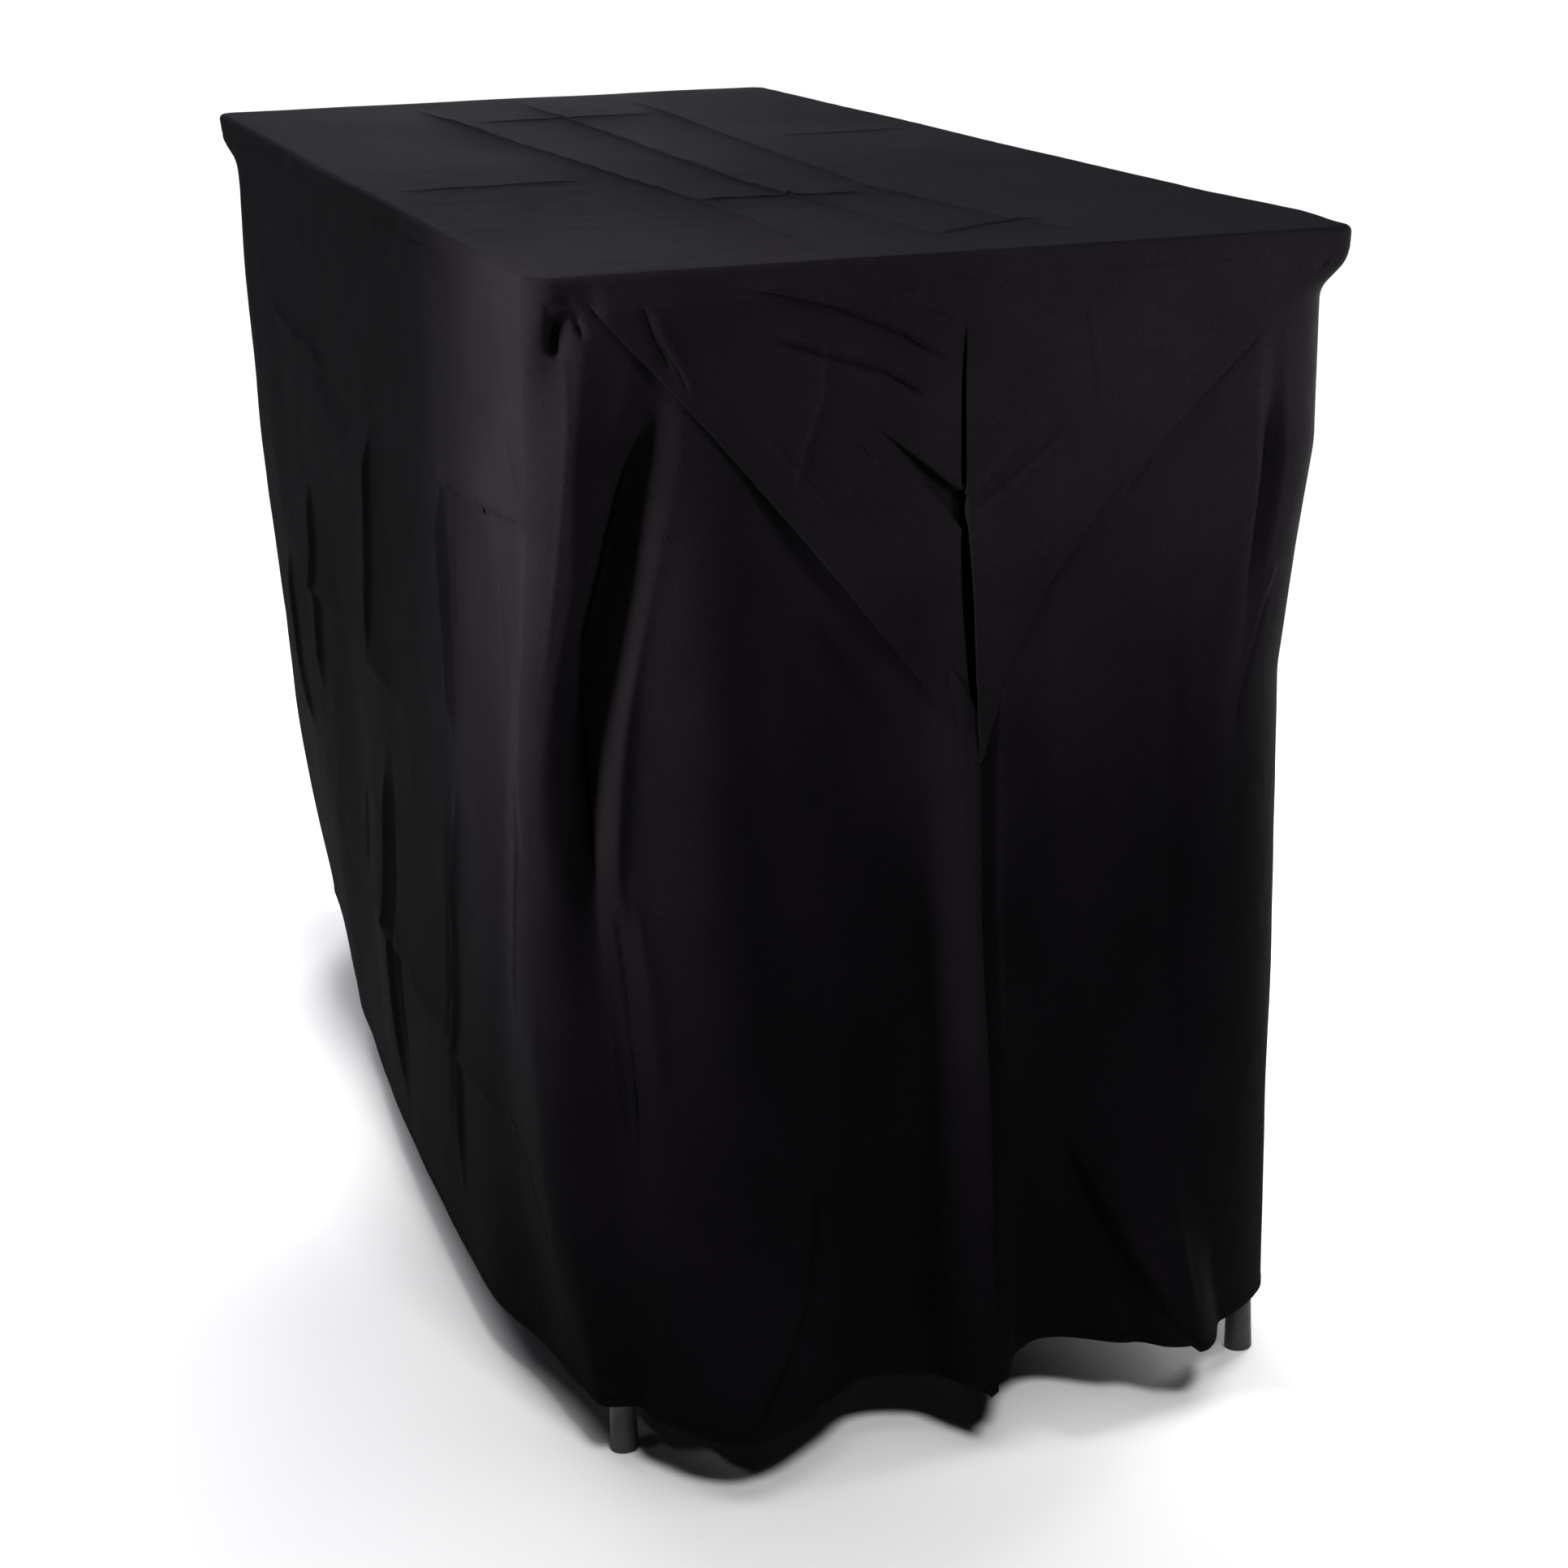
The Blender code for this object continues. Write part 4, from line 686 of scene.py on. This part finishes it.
# ---- materials ----
class Nodes:
    """Short hand for building a node material."""

    def __init__(self, name, base, roughness, metallic=0.0):
        self.material = bpy.data.materials.new(name)
        self.material.use_nodes = True
        self.tree = self.material.node_tree
        self.shader = self.tree.nodes["Principled BSDF"]
        self.shader.inputs["Base Color"].default_value = (*base, 1)
        self.shader.inputs["Roughness"].default_value = roughness
        self.shader.inputs["Metallic"].default_value = metallic

    def node(self, kind, **settings):
        made = self.tree.nodes.new(kind)
        for key, value in settings.items():
            setattr(made, key, value)
        return made

    def link(self, a, b):
        self.tree.links.new(a, b)

    def math(self, operation, a, b=None, c=None):
        made = self.node("ShaderNodeMath", operation=operation)
        for socket, value in zip(made.inputs, (a, b, c)):
            if value is None:
                continue
            if isinstance(value, (int, float)):
                socket.default_value = value
            else:
                self.link(value, socket)
        return made.outputs[0]

    def noise(self, vector, scale, detail=2.0, roughness=0.5):
        made = self.node("ShaderNodeTexNoise")
        made.inputs["Scale"].default_value = scale
        made.inputs["Detail"].default_value = detail
        made.inputs["Roughness"].default_value = roughness
        self.link(vector, made.inputs["Vector"])
        return made.outputs[0]

    def ramp(self, value, low, high, start=0.3, stop=0.7):
        made = self.node("ShaderNodeValToRGB")
        made.color_ramp.elements[0].position, made.color_ramp.elements[1].position = start, stop
        made.color_ramp.elements[0].color, made.color_ramp.elements[1].color = (*low, 1), (*high, 1)
        self.link(value, made.inputs[0])
        return made.outputs[0]

    def spread(self, value, low, high):
        made = self.node("ShaderNodeMapRange")
        made.inputs["From Min"].default_value, made.inputs["From Max"].default_value = 0.3, 0.7
        made.inputs["To Min"].default_value, made.inputs["To Max"].default_value = low, high
        self.link(value, made.inputs["Value"])
        return made.outputs[0]

    def bump(self, height, distance, strength=1.0, under=None):
        made = self.node("ShaderNodeBump")
        made.inputs["Strength"].default_value = strength
        made.inputs["Distance"].default_value = distance
        self.link(height, made.inputs["Height"])
        if under is not None:
            self.link(under, made.inputs["Normal"])
        return made.outputs[0]


THREAD = 0.00055  # pitch of the weave
CLOTH_DARK = (0.0017, 0.0013, 0.0017)
CLOTH_LIGHT = (0.0042, 0.0034, 0.0043)
# Fine packing creases that only the light shows. Columns: axis, position, lean, width, from, to on the other axis.
FINE_CREASES = [
    ("u", left(-0.400), 0.010, 0.0013, 0.15, 0.90), ("v", 0.0215, 0.004, 0.0012, left(0.90), left(-0.80)),
]


def cloth_material():
    n = Nodes("black_satin_cloth", CLOTH_DARK, 0.5)
    coords = n.node("ShaderNodeTexCoord")
    uv, place = coords.outputs["UV"], coords.outputs["Object"]
    split = n.node("ShaderNodeSeparateXYZ")
    n.link(uv, split.inputs[0])
    u, v = split.outputs[0], split.outputs[1]
    cloudy = n.noise(place, 9.0, 3.0)
    grain = n.noise(place, 750.0, 1.0, 0.7)
    colour = n.ramp(n.math("ADD", n.math("MULTIPLY", cloudy, 0.35), n.math("MULTIPLY", grain, 0.65)), CLOTH_DARK, CLOTH_LIGHT)
    n.link(colour, n.shader.inputs["Base Color"])
    n.link(n.spread(n.noise(place, 30.0, 1.0), 0.88, 0.94), n.shader.inputs["Roughness"])
    # satin weave: warp floats that shift by two threads a row
    warp = n.math("MULTIPLY", u, 2 * math.pi / THREAD)
    weft = n.math("MULTIPLY", v, 2 * math.pi / THREAD)
    floats = n.math("SINE", n.math("ADD", warp, n.math("MULTIPLY", weft, 0.4)))
    crossing = n.math("SINE", n.math("SUBTRACT", weft, n.math("MULTIPLY", warp, 0.2)))
    weave = n.math("MULTIPLY", n.math("MULTIPLY", floats, crossing), 0.5)
    # fine creases
    wobble = n.math("MULTIPLY", n.math("SUBTRACT", n.noise(place, 5.0, 2.0), 0.5), 0.008)
    lines = None
    for axis, position, lean, width, start, stop in FINE_CREASES:
        a, b = (u, v) if axis == "u" else (v, u)
        off = n.math("SUBTRACT", n.math("ADD", a, wobble), n.math("ADD", n.math("MULTIPLY", b, lean), position))
        line = n.math("DIVIDE", 1.0, n.math("ADD", 1.0, n.math("POWER", n.math("ABSOLUTE", n.math("DIVIDE", off, width)), 2.0)))
        inside = n.math("MULTIPLY", n.math("GREATER_THAN", b, start), n.math("LESS_THAN", b, stop))
        line = n.math("MULTIPLY", line, inside)
        lines = line if lines is None else n.math("ADD", lines, line)
    # the hem's seam and its stitches
    from_edge = n.math("SUBTRACT", DROP - HEM_WIDTH, v)
    seam = n.math("DIVIDE", 1.0, n.math("ADD", 1.0, n.math("POWER", n.math("ABSOLUTE", n.math("DIVIDE", from_edge, 0.0006)), 2.0)))
    stitch = n.math("GREATER_THAN", n.math("SINE", n.math("MULTIPLY", u, 2 * math.pi / 0.0030)), -0.2)
    seam = n.math("MULTIPLY", seam, n.math("ADD", n.math("MULTIPLY", stitch, 0.6), 0.4))
    first = n.bump(weave, 0.00004, 0.6)
    second = n.bump(grain, 0.00045, 0.8, first)
    third = n.bump(lines, 0.0009, 0.9, second)
    fourth = n.bump(n.math("MULTIPLY", seam, -1.0), 0.0007, 1.0, third)
    fifth = n.bump(n.noise(place, 60.0, 2.0, 0.55), 0.0005, 0.12, fourth)
    n.link(fifth, n.shader.inputs["Normal"])
    n.shader.inputs["Specular IOR Level"].default_value = 0.017
    return n.material


def panel_material():
    n = Nodes("moulded_table_plastic", (0.62, 0.62, 0.60), 0.5)
    place = n.node("ShaderNodeTexCoord").outputs["Object"]
    n.link(n.ramp(n.noise(place, 14.0, 4.0), (0.57, 0.57, 0.55), (0.66, 0.66, 0.64)), n.shader.inputs["Base Color"])
    n.link(n.spread(n.noise(place, 40.0, 3.0), 0.42, 0.60), n.shader.inputs["Roughness"])
    n.link(n.bump(n.noise(place, 650.0, 3.0, 0.6), 0.0003, 0.6), n.shader.inputs["Normal"])
    return n.material


def paint_material():
    n = Nodes("powder_coat", (0.012, 0.012, 0.012), 0.42)
    place = n.node("ShaderNodeTexCoord").outputs["Object"]
    n.link(n.ramp(n.noise(place, 25.0, 4.0), (0.010, 0.010, 0.011), (0.018, 0.018, 0.019)), n.shader.inputs["Base Color"])
    n.link(n.spread(n.noise(place, 60.0, 3.0), 0.36, 0.50), n.shader.inputs["Roughness"])
    n.link(n.bump(n.noise(place, 1400.0, 2.0, 0.6), 0.00012, 0.7), n.shader.inputs["Normal"])
    return n.material


def foot_material():
    n = Nodes("moulded_foot_plastic", (0.010, 0.010, 0.010), 0.55)
    coords = n.node("ShaderNodeTexCoord")
    place = coords.outputs["Object"]
    split = n.node("ShaderNodeSeparateXYZ")
    n.link(place, split.inputs[0])
    scuffed = n.math("MULTIPLY", n.noise(place, 120.0, 4.0), n.spread(n.math("MULTIPLY", split.outputs[2], 20.0), 1.0, 0.35))
    n.link(n.ramp(scuffed, (0.0085, 0.0088, 0.0088), (0.018, 0.018, 0.017), 0.25, 0.75), n.shader.inputs["Base Color"])
    n.link(n.spread(n.noise(place, 90.0, 3.0), 0.45, 0.62), n.shader.inputs["Roughness"])
    n.link(n.bump(n.noise(place, 900.0, 2.0, 0.6), 0.0002, 0.5), n.shader.inputs["Normal"])
    return n.material


def floor_material():
    n = Nodes("pale_floor", (0.89, 0.89, 0.89), 0.75)
    place = n.node("ShaderNodeTexCoord").outputs["Object"]
    n.link(n.ramp(n.noise(place, 1.5, 3.0), (0.88, 0.88, 0.88), (0.90, 0.90, 0.90)), n.shader.inputs["Base Color"])
    n.shader.inputs["Specular IOR Level"].default_value = 0.1
    return n.material


satin = cloth_material()

# ---- the main sheet: top, rolled edge, and the skirt round the long sides and the far end ----
main_sheet = Sheet()
SEAM_LEFT = left(-0.70)
SEAM_RIGHT = right(-0.74)
GRID = 0.0006

# skirt round the sides, from the seam on the right side over the far end to the seam on the left side
around = stations((SEAM_RIGHT, CORNER_F - 0.16, 0.012), (CORNER_F - 0.16, CORNER_F + 0.16, 0.008), (CORNER_F + 0.16, CORNER_L - 0.14, 0.008),
                  (CORNER_L - 0.14, CORNER_L + 0.14, 0.006), (CORNER_L + 0.14, ROUND + SEAM_LEFT, 0.0065))


def far_top(s):
    x = MID_FAR - np.mod(s, ROUND)
    depth = v_depth(x, (V_FAR, V_FAR)) * (np.abs(x) < HALF_X)
    return np.maximum(BAND, depth - 0.045)


add_skirt(main_sheet, around, far_top, 110)

# the rolled edge all round
fine = stations((SEAM_LEFT, CORNER_N + 0.05, 0.004), (CORNER_N + 0.05, CORNER_R - 0.05, 0.0042), (CORNER_R - 0.05, CORNER_R + 0.12, 0.004),
                (CORNER_R + 0.12, CORNER_F - 0.05, 0.012), (CORNER_F - 0.05, CORNER_F + 0.05, 0.004), (CORNER_F + 0.05, CORNER_L - 0.05, 0.010),
                (CORNER_L - 0.05, CORNER_L + 0.06, 0.004), (CORNER_L + 0.06, ROUND + SEAM_LEFT, 0.010))
roll = EDGE_ROUND * (1 - np.cos(np.linspace(0, math.pi / 2, 7)))
q = np.concatenate([[-ON_TOP - 0.003, -ON_TOP, -ON_TOP / 2, -ON_TOP / 6], roll, [0.009, 0.013, 0.018, BAND, BAND + 0.005]])
s2, q2 = np.meshgrid(pad(fine), q, indexing="ij")
band = band_points(s2, q2)
band, band_normals = trimmed(band)
main_sheet.grid(band, band_normals, np.stack([s2, np.maximum(q2, 0)], axis=-1)[1:-1, 1:-1])

# the top: a grid, and a strip that joins it to the rolled edge
grid_x = stations((-0.350, -0.150, 0.007), (-0.150, 0.175, 0.0027), (0.175, 0.350, 0.007))
grid_y = stations((-0.880, -0.800, 0.012), (-0.800, -0.690, 0.004), (-0.690, -0.435, 0.020), (-0.435, -0.410, 0.003), (-0.410, -0.195, 0.020), (-0.195, -0.172, 0.003),
                  (-0.172, 0.175, 0.022), (0.175, 0.205, 0.003), (0.205, 0.555, 0.022), (0.555, 0.572, 0.003), (0.572, 0.880, 0.022))
gx, gy = np.meshgrid(grid_x, grid_y, indexing="ij")


def top_normals(x, y):
    e = 0.001
    slope_x = (top_z(x + e, y) - top_z(x - e, y)) / (2 * e)
    slope_y = (top_z(x, y + e) - top_z(x, y - e)) / (2 * e)
    return unit(np.stack([-slope_x, -slope_y, np.ones_like(x)], axis=-1))


# columns run back from the near end, so that the faces look up
gx, gy = gx[::-1], gy[::-1]
main_sheet.grid(np.stack([gx, gy, top_z(gx, gy)], axis=-1), top_normals(gx, gy), np.stack([gx + 7, gy + 7], axis=-1))
rim_points = band[:-1, 0]
border = [(x, grid_y[0]) for x in grid_x] + [(grid_x[-1], y) for y in grid_y[1:]] + [(x, grid_y[-1]) for x in grid_x[-2::-1]] + [(grid_x[0], y) for y in grid_y[-2:0:-1]]
flat = [Vector((float(p[0]), float(p[1]))) for p in rim_points] + [Vector((float(x), float(y))) for x, y in border]
n_rim = len(rim_points)
edges = [(i, (i + 1) % n_rim) for i in range(n_rim)] + [(n_rim + i, n_rim + (i + 1) % len(border)) for i in range(len(border))]
strip_points, _, strip_faces = delaunay_2d_cdt(flat, edges, [], 1, 1e-7)[:3]
sx, sy = np.array([p.x for p in strip_points]), np.array([p.y for p in strip_points])
kept = []
for face in strip_faces:
    cx, cy = sx[list(face)].mean(), sy[list(face)].mean()
    if abs(cx) < 0.350 and abs(cy) < 0.880:
        continue
    turn = sum(sx[face[i]] * sy[face[(i + 1) % 3]] - sx[face[(i + 1) % 3]] * sy[face[i]] for i in range(3))
    kept.append(list(face) if turn > 0 else list(face)[::-1])
main_sheet.loose(np.stack([sx, sy, top_z(sx, sy)], axis=-1), top_normals(sx, sy), np.stack([sx + 7, sy + 7], axis=-1), kept)
cover = main_sheet.make("cover_sheet", satin)

# ---- the near end: left wrap over right wrap ----
def near_top(s):
    x = s - HALF_X
    depth = v_depth(x, (V_NEAR_LEFT, V_NEAR_RIGHT)) * (np.abs(x) < HALF_X)
    return np.maximum(BAND, np.minimum(depth, 0.449) - 0.045)


def left_wrap_points(s, h):
    """The left wrap, its columns squeezed so that the last one is its upright edge."""
    edge = near(along(h, OVERLAP_EDGE, 1, 0.02))
    s = s + (edge - near(0.010)) * ease((s - near(-0.10)) / 0.11)
    points = wrap_points(s, h)
    # the hemmed edge stands a little proud of the wrap below it
    proud = 0.0022 * ease((s - near(-0.03)) / 0.03) + 0.0005 * ease((s - edge + 0.0072) / 0.0008)
    points[..., 1] -= proud
    return points


def right_wrap_points(s, h):
    points = wrap_points(s, h)
    edge = near(along(h, OVERLAP_EDGE, 1, 0.02))
    # it passes behind the left wrap
    points[..., 1] += 0.0052 * ease((edge + 0.022 - s) / 0.020)
    return points


left_wrap = Sheet()
add_skirt(left_wrap, stations((SEAM_LEFT, -0.10, 0.0040), (-0.10, near(-0.20), 0.0024), (near(-0.20), near(0.010), 0.0028)), near_top, 215, left_wrap_points, ("right",))
left_wrap = left_wrap.make("cover_left_wrap", satin)
right_wrap = Sheet()
add_skirt(right_wrap, stations((near(-0.050), near(0.26), 0.0032), (near(0.26), CORNER_R + 0.02, 0.0026), (CORNER_R + 0.02, SEAM_RIGHT, 0.0040)), near_top, 215, right_wrap_points)
right_wrap = right_wrap.make("cover_right_wrap", satin)


# ---- the V: two flaps with folded edges and the open pleat between them ----
def flap_start(sides, sign):
    """Where the V's edge leaves the rolled edge band."""
    xs = np.linspace(0.2, HALF_X, 800)
    depth = v_depth(sign * xs, sides)
    return float(xs[depth > BAND + 0.0008].max())


def add_flap(sheet, sign, sides, slit_rows, columns, rows, to_world, table, seed):
    outer = flap_start(sides, sign)
    a, b = pad(np.linspace(0, 1, columns)), pad(np.linspace(0, 1, rows))
    a2, b2 = np.meshgrid(a, b, indexing="ij")
    x = sign * outer * (1 - a2)
    reach = 0.449 if sides[0] is V_NEAR_LEFT else 0.430
    for _ in range(8):
        h = BAND + b2 * (np.minimum(v_depth(x, sides), reach) - BAND)
        rim = along(h, slit_rows, 1, 0.008) + sign * along(h, slit_rows, 2, 0.008)
        x = sign * outer + a2 * (rim - sign * outer)
    h = BAND + b2 * (np.minimum(v_depth(x, sides), reach) - BAND)
    points = to_world(x, h)
    if sign > 0:
        points, x, h = points[::-1], x[::-1], h[::-1]
    points, normals = trimmed(points)
    x, h = x[1:-1, 1:-1], h[1:-1, 1:-1]
    k = -1 if sign < 0 else 0
    wall, wall_normals = deep_edge(points, normals, "right" if sign < 0 else "left", FLAP_FOLD, 0.024)
    keep = slice(len(points) - 1, None) if sign < 0 else slice(0, len(wall) - len(points) + 1)
    wall, wall_normals = wall[keep], wall_normals[keep]
    sheet.grid(wall, wall_normals, np.stack([near(x[k])[None].repeat(len(wall), 0), h[k][None].repeat(len(wall), 0)], axis=-1))
    points, normals = fold_edge(points, normals, "bottom", FLAP_FOLD, (0.006, 0.012))
    extra = points.shape[1] - h.shape[1]
    h = np.concatenate([h, h[:, -1:].repeat(extra, 1)], axis=1)
    x = np.concatenate([x, x[:, -1:].repeat(extra, 1)], axis=1)
    sheet.grid(points, normals, np.stack([near(x), h], axis=-1))


NEAR_V = (V_NEAR_LEFT, V_NEAR_RIGHT)
FAR_V = (V_FAR, V_FAR)


def near_flap_world(x, h):
    s = near(x)
    share = flap_share(x, NEAR_V)
    out = wrap_free(s, h) * (1 - share) + flap_out(x, h, NEAR_V, swing(s, h), FLAP_STROKES, 31) * share
    out = out + wide_of_the_edge(s) * np.clip((0.085 - h) / 0.05, 0, 1)
    return np.stack([x, -HALF_Y - out, Z_TOP - h], axis=-1)


def far_flap_world(x, h):
    s = far(x)
    share = flap_share(x, FAR_V)
    out = wrap_free(s, h) * (1 - share) + flap_out(x, h, FAR_V, swing(s, h), {}, 41) * share
    return np.stack([x, HALF_Y + out, Z_TOP - h], axis=-1)


near_flaps = Sheet()
add_flap(near_flaps, -1, NEAR_V, SLIT_NEAR, 165, 200, near_flap_world, FLAP_STROKES, 31)
add_flap(near_flaps, 1, NEAR_V, SLIT_NEAR, 160, 200, near_flap_world, FLAP_STROKES, 31)
near_flaps = near_flaps.make("cover_v_near", satin)


class FarSheet(Sheet):
    """The far end looks the other way, so its columns run the other way too."""

    def grid(self, points, normals, uv):
        super().grid(points[::-1], -normals[::-1], uv[::-1])


far_flaps = FarSheet()
add_flap(far_flaps, -1, FAR_V, SLIT_FAR, 60, 70, far_flap_world, {}, 41)
add_flap(far_flaps, 1, FAR_V, SLIT_FAR, 60, 70, far_flap_world, {}, 41)
far_flaps = far_flaps.make("cover_v_far", satin)


# the pleats' backs, deep behind their rims
def pleat_back(name, sign, slit_rows):
    depths = pad(np.linspace(slit_rows[0][0] - 0.006, slit_rows[-1][0] + 0.02, 40))
    across = pad(np.linspace(-0.034, 0.034, 15))
    x, h = np.meshgrid(across, depths, indexing="ij")
    middle = along(h, slit_rows, 1, 0.01)
    y = sign * (HALF_Y - 0.021 + 0.012 * (x / 0.034) ** 2)
    points = np.stack([middle + x, y, Z_TOP - h], axis=-1)
    if sign > 0:
        points = points[::-1]
    made = Sheet()
    points, normals = trimmed(points)
    made.grid(points, normals, np.stack([near(x), h], axis=-1)[1:-1, 1:-1])
    return made.make(name, satin)


back_near = pleat_back("cover_pleat_back_near", -1, SLIT_NEAR)
back_far = pleat_back("cover_pleat_back_far", 1, SLIT_FAR)

cloth_pieces = [left_wrap, right_wrap, near_flaps, far_flaps, back_near, back_far]
for piece in [cover] + cloth_pieces:
    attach(piece, "root")
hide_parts("cover_cloth")

# ---- the table's own parts keep their frame shapes ----
for name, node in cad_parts.items():
    if name.startswith("leg_"):
        node.data.materials.clear()
        node.data.materials.append(bpy.data.materials.get("powder_coat") or paint_material())
    elif name.startswith("foot_"):
        node.data.materials.clear()
        node.data.materials.append(bpy.data.materials.get("moulded_foot_plastic") or foot_material())
    elif name == "table_top":
        node.data.materials.clear()
        node.data.materials.append(panel_material())

# ---- stage, light and camera ----
floor_mesh = bpy.data.meshes.new("floor")
floor_mesh.from_pydata([(-40, -40, 0), (40, -40, 0), (40, 60, 0), (-40, 60, 0)], [], [(0, 1, 2, 3)])
floor = bpy.data.objects.new("floor", floor_mesh)
floor.data.materials.append(floor_material())
bpy.context.scene.collection.objects.link(floor)


def softbox(name, place, target, size, watts, spread=180, colour=(1, 1, 1)):
    light = bpy.data.lights.new(name, "AREA")
    light.shape = "RECTANGLE"
    light.size, light.size_y = size
    light.energy = watts
    light.color = colour
    light.spread = math.radians(spread)
    made = bpy.data.objects.new(name, light)
    made.location = place
    made.rotation_euler = (Vector(target) - Vector(place)).to_track_quat("-Z", "Y").to_euler()
    bpy.context.scene.collection.objects.link(made)
    return made


def sky_panel(name, towards, angle, strength, colour=(1, 1, 1)):
    light = bpy.data.lights.new(name, "SUN")
    light.angle = math.radians(angle)
    light.energy = strength
    light.color = colour
    made = bpy.data.objects.new(name, light)
    made.rotation_euler = (-Vector(towards)).to_track_quat("-Z", "Y").to_euler()
    bpy.context.scene.collection.objects.link(made)
    return made


sky_panel("key_from_the_front", (0.0, -0.59, 0.81), 12, 1.75)
sky_panel("wide_overhead", (0.0, 0.15, 1.0), 60, 2.05)
sky_panel("grazing_from_behind", (0.05, 0.9, 0.33), 40, 1.08, (0.96, 0.94, 1.18))
softbox("corner_box", (-1.15, -1.00, 1.22), (-0.37, -0.84, 0.95), (0.30, 0.70), 9.0, 50)
softbox("right_box", (1.05, -1.60, 1.02), (0.29, -0.93, 1.03), (0.30, 0.30), 3.1, 42)
# below the table's height and behind it, for the two sides that the photo does not show
softbox("right_side_fill", (2.30, 1.00, 0.85), (0.38, 0.20, 0.60), (1.40, 0.70), 26.0, 100)
softbox("left_floor_fill", (-0.66, 0.15, 2.30), (-0.66, 0.15, 0.00), (2.30, 0.34), 2.9, 24)
softbox("far_end_fill", (0.50, 3.10, 0.85), (0.00, 0.95, 0.60), (0.90, 0.70), 28.0, 100)

world = bpy.data.worlds.new("studio")
bpy.context.scene.world = world
world.use_nodes = True
world.node_tree.nodes["Background"].inputs[0].default_value = (1, 1, 1, 1)
world.node_tree.nodes["Background"].inputs[1].default_value = 0.0

CAMERA_PLACE = Vector((-0.95961, -3.53136, 1.4568))
AZIMUTH, ELEVATION, ROLL = -0.29347, 0.28509, -0.02539
FOCAL_PIXELS, FRAME_PIXELS = 4067.0, 1932.0
back = Vector((math.sin(AZIMUTH) * math.cos(ELEVATION), -math.cos(AZIMUTH) * math.cos(ELEVATION), math.sin(ELEVATION)))
level = Vector((math.cos(AZIMUTH), math.sin(AZIMUTH), 0))
upright = back.cross(level)
camera_x = level * math.cos(ROLL) + upright * math.sin(ROLL)
camera_y = -level * math.sin(ROLL) + upright * math.cos(ROLL)
lens = bpy.data.cameras.new("camera")
lens.sensor_width = 36
lens.lens = 36 * FOCAL_PIXELS / FRAME_PIXELS
lens.clip_end = 200
camera = bpy.data.objects.new("camera", lens)
camera.matrix_world = Matrix(((camera_x.x, camera_y.x, back.x, CAMERA_PLACE.x), (camera_x.y, camera_y.y, back.y, CAMERA_PLACE.y),
                              (camera_x.z, camera_y.z, back.z, CAMERA_PLACE.z), (0, 0, 0, 1)))
bpy.context.scene.collection.objects.link(camera)
bpy.context.scene.camera = camera
bpy.context.scene.view_settings.view_transform = "Standard"
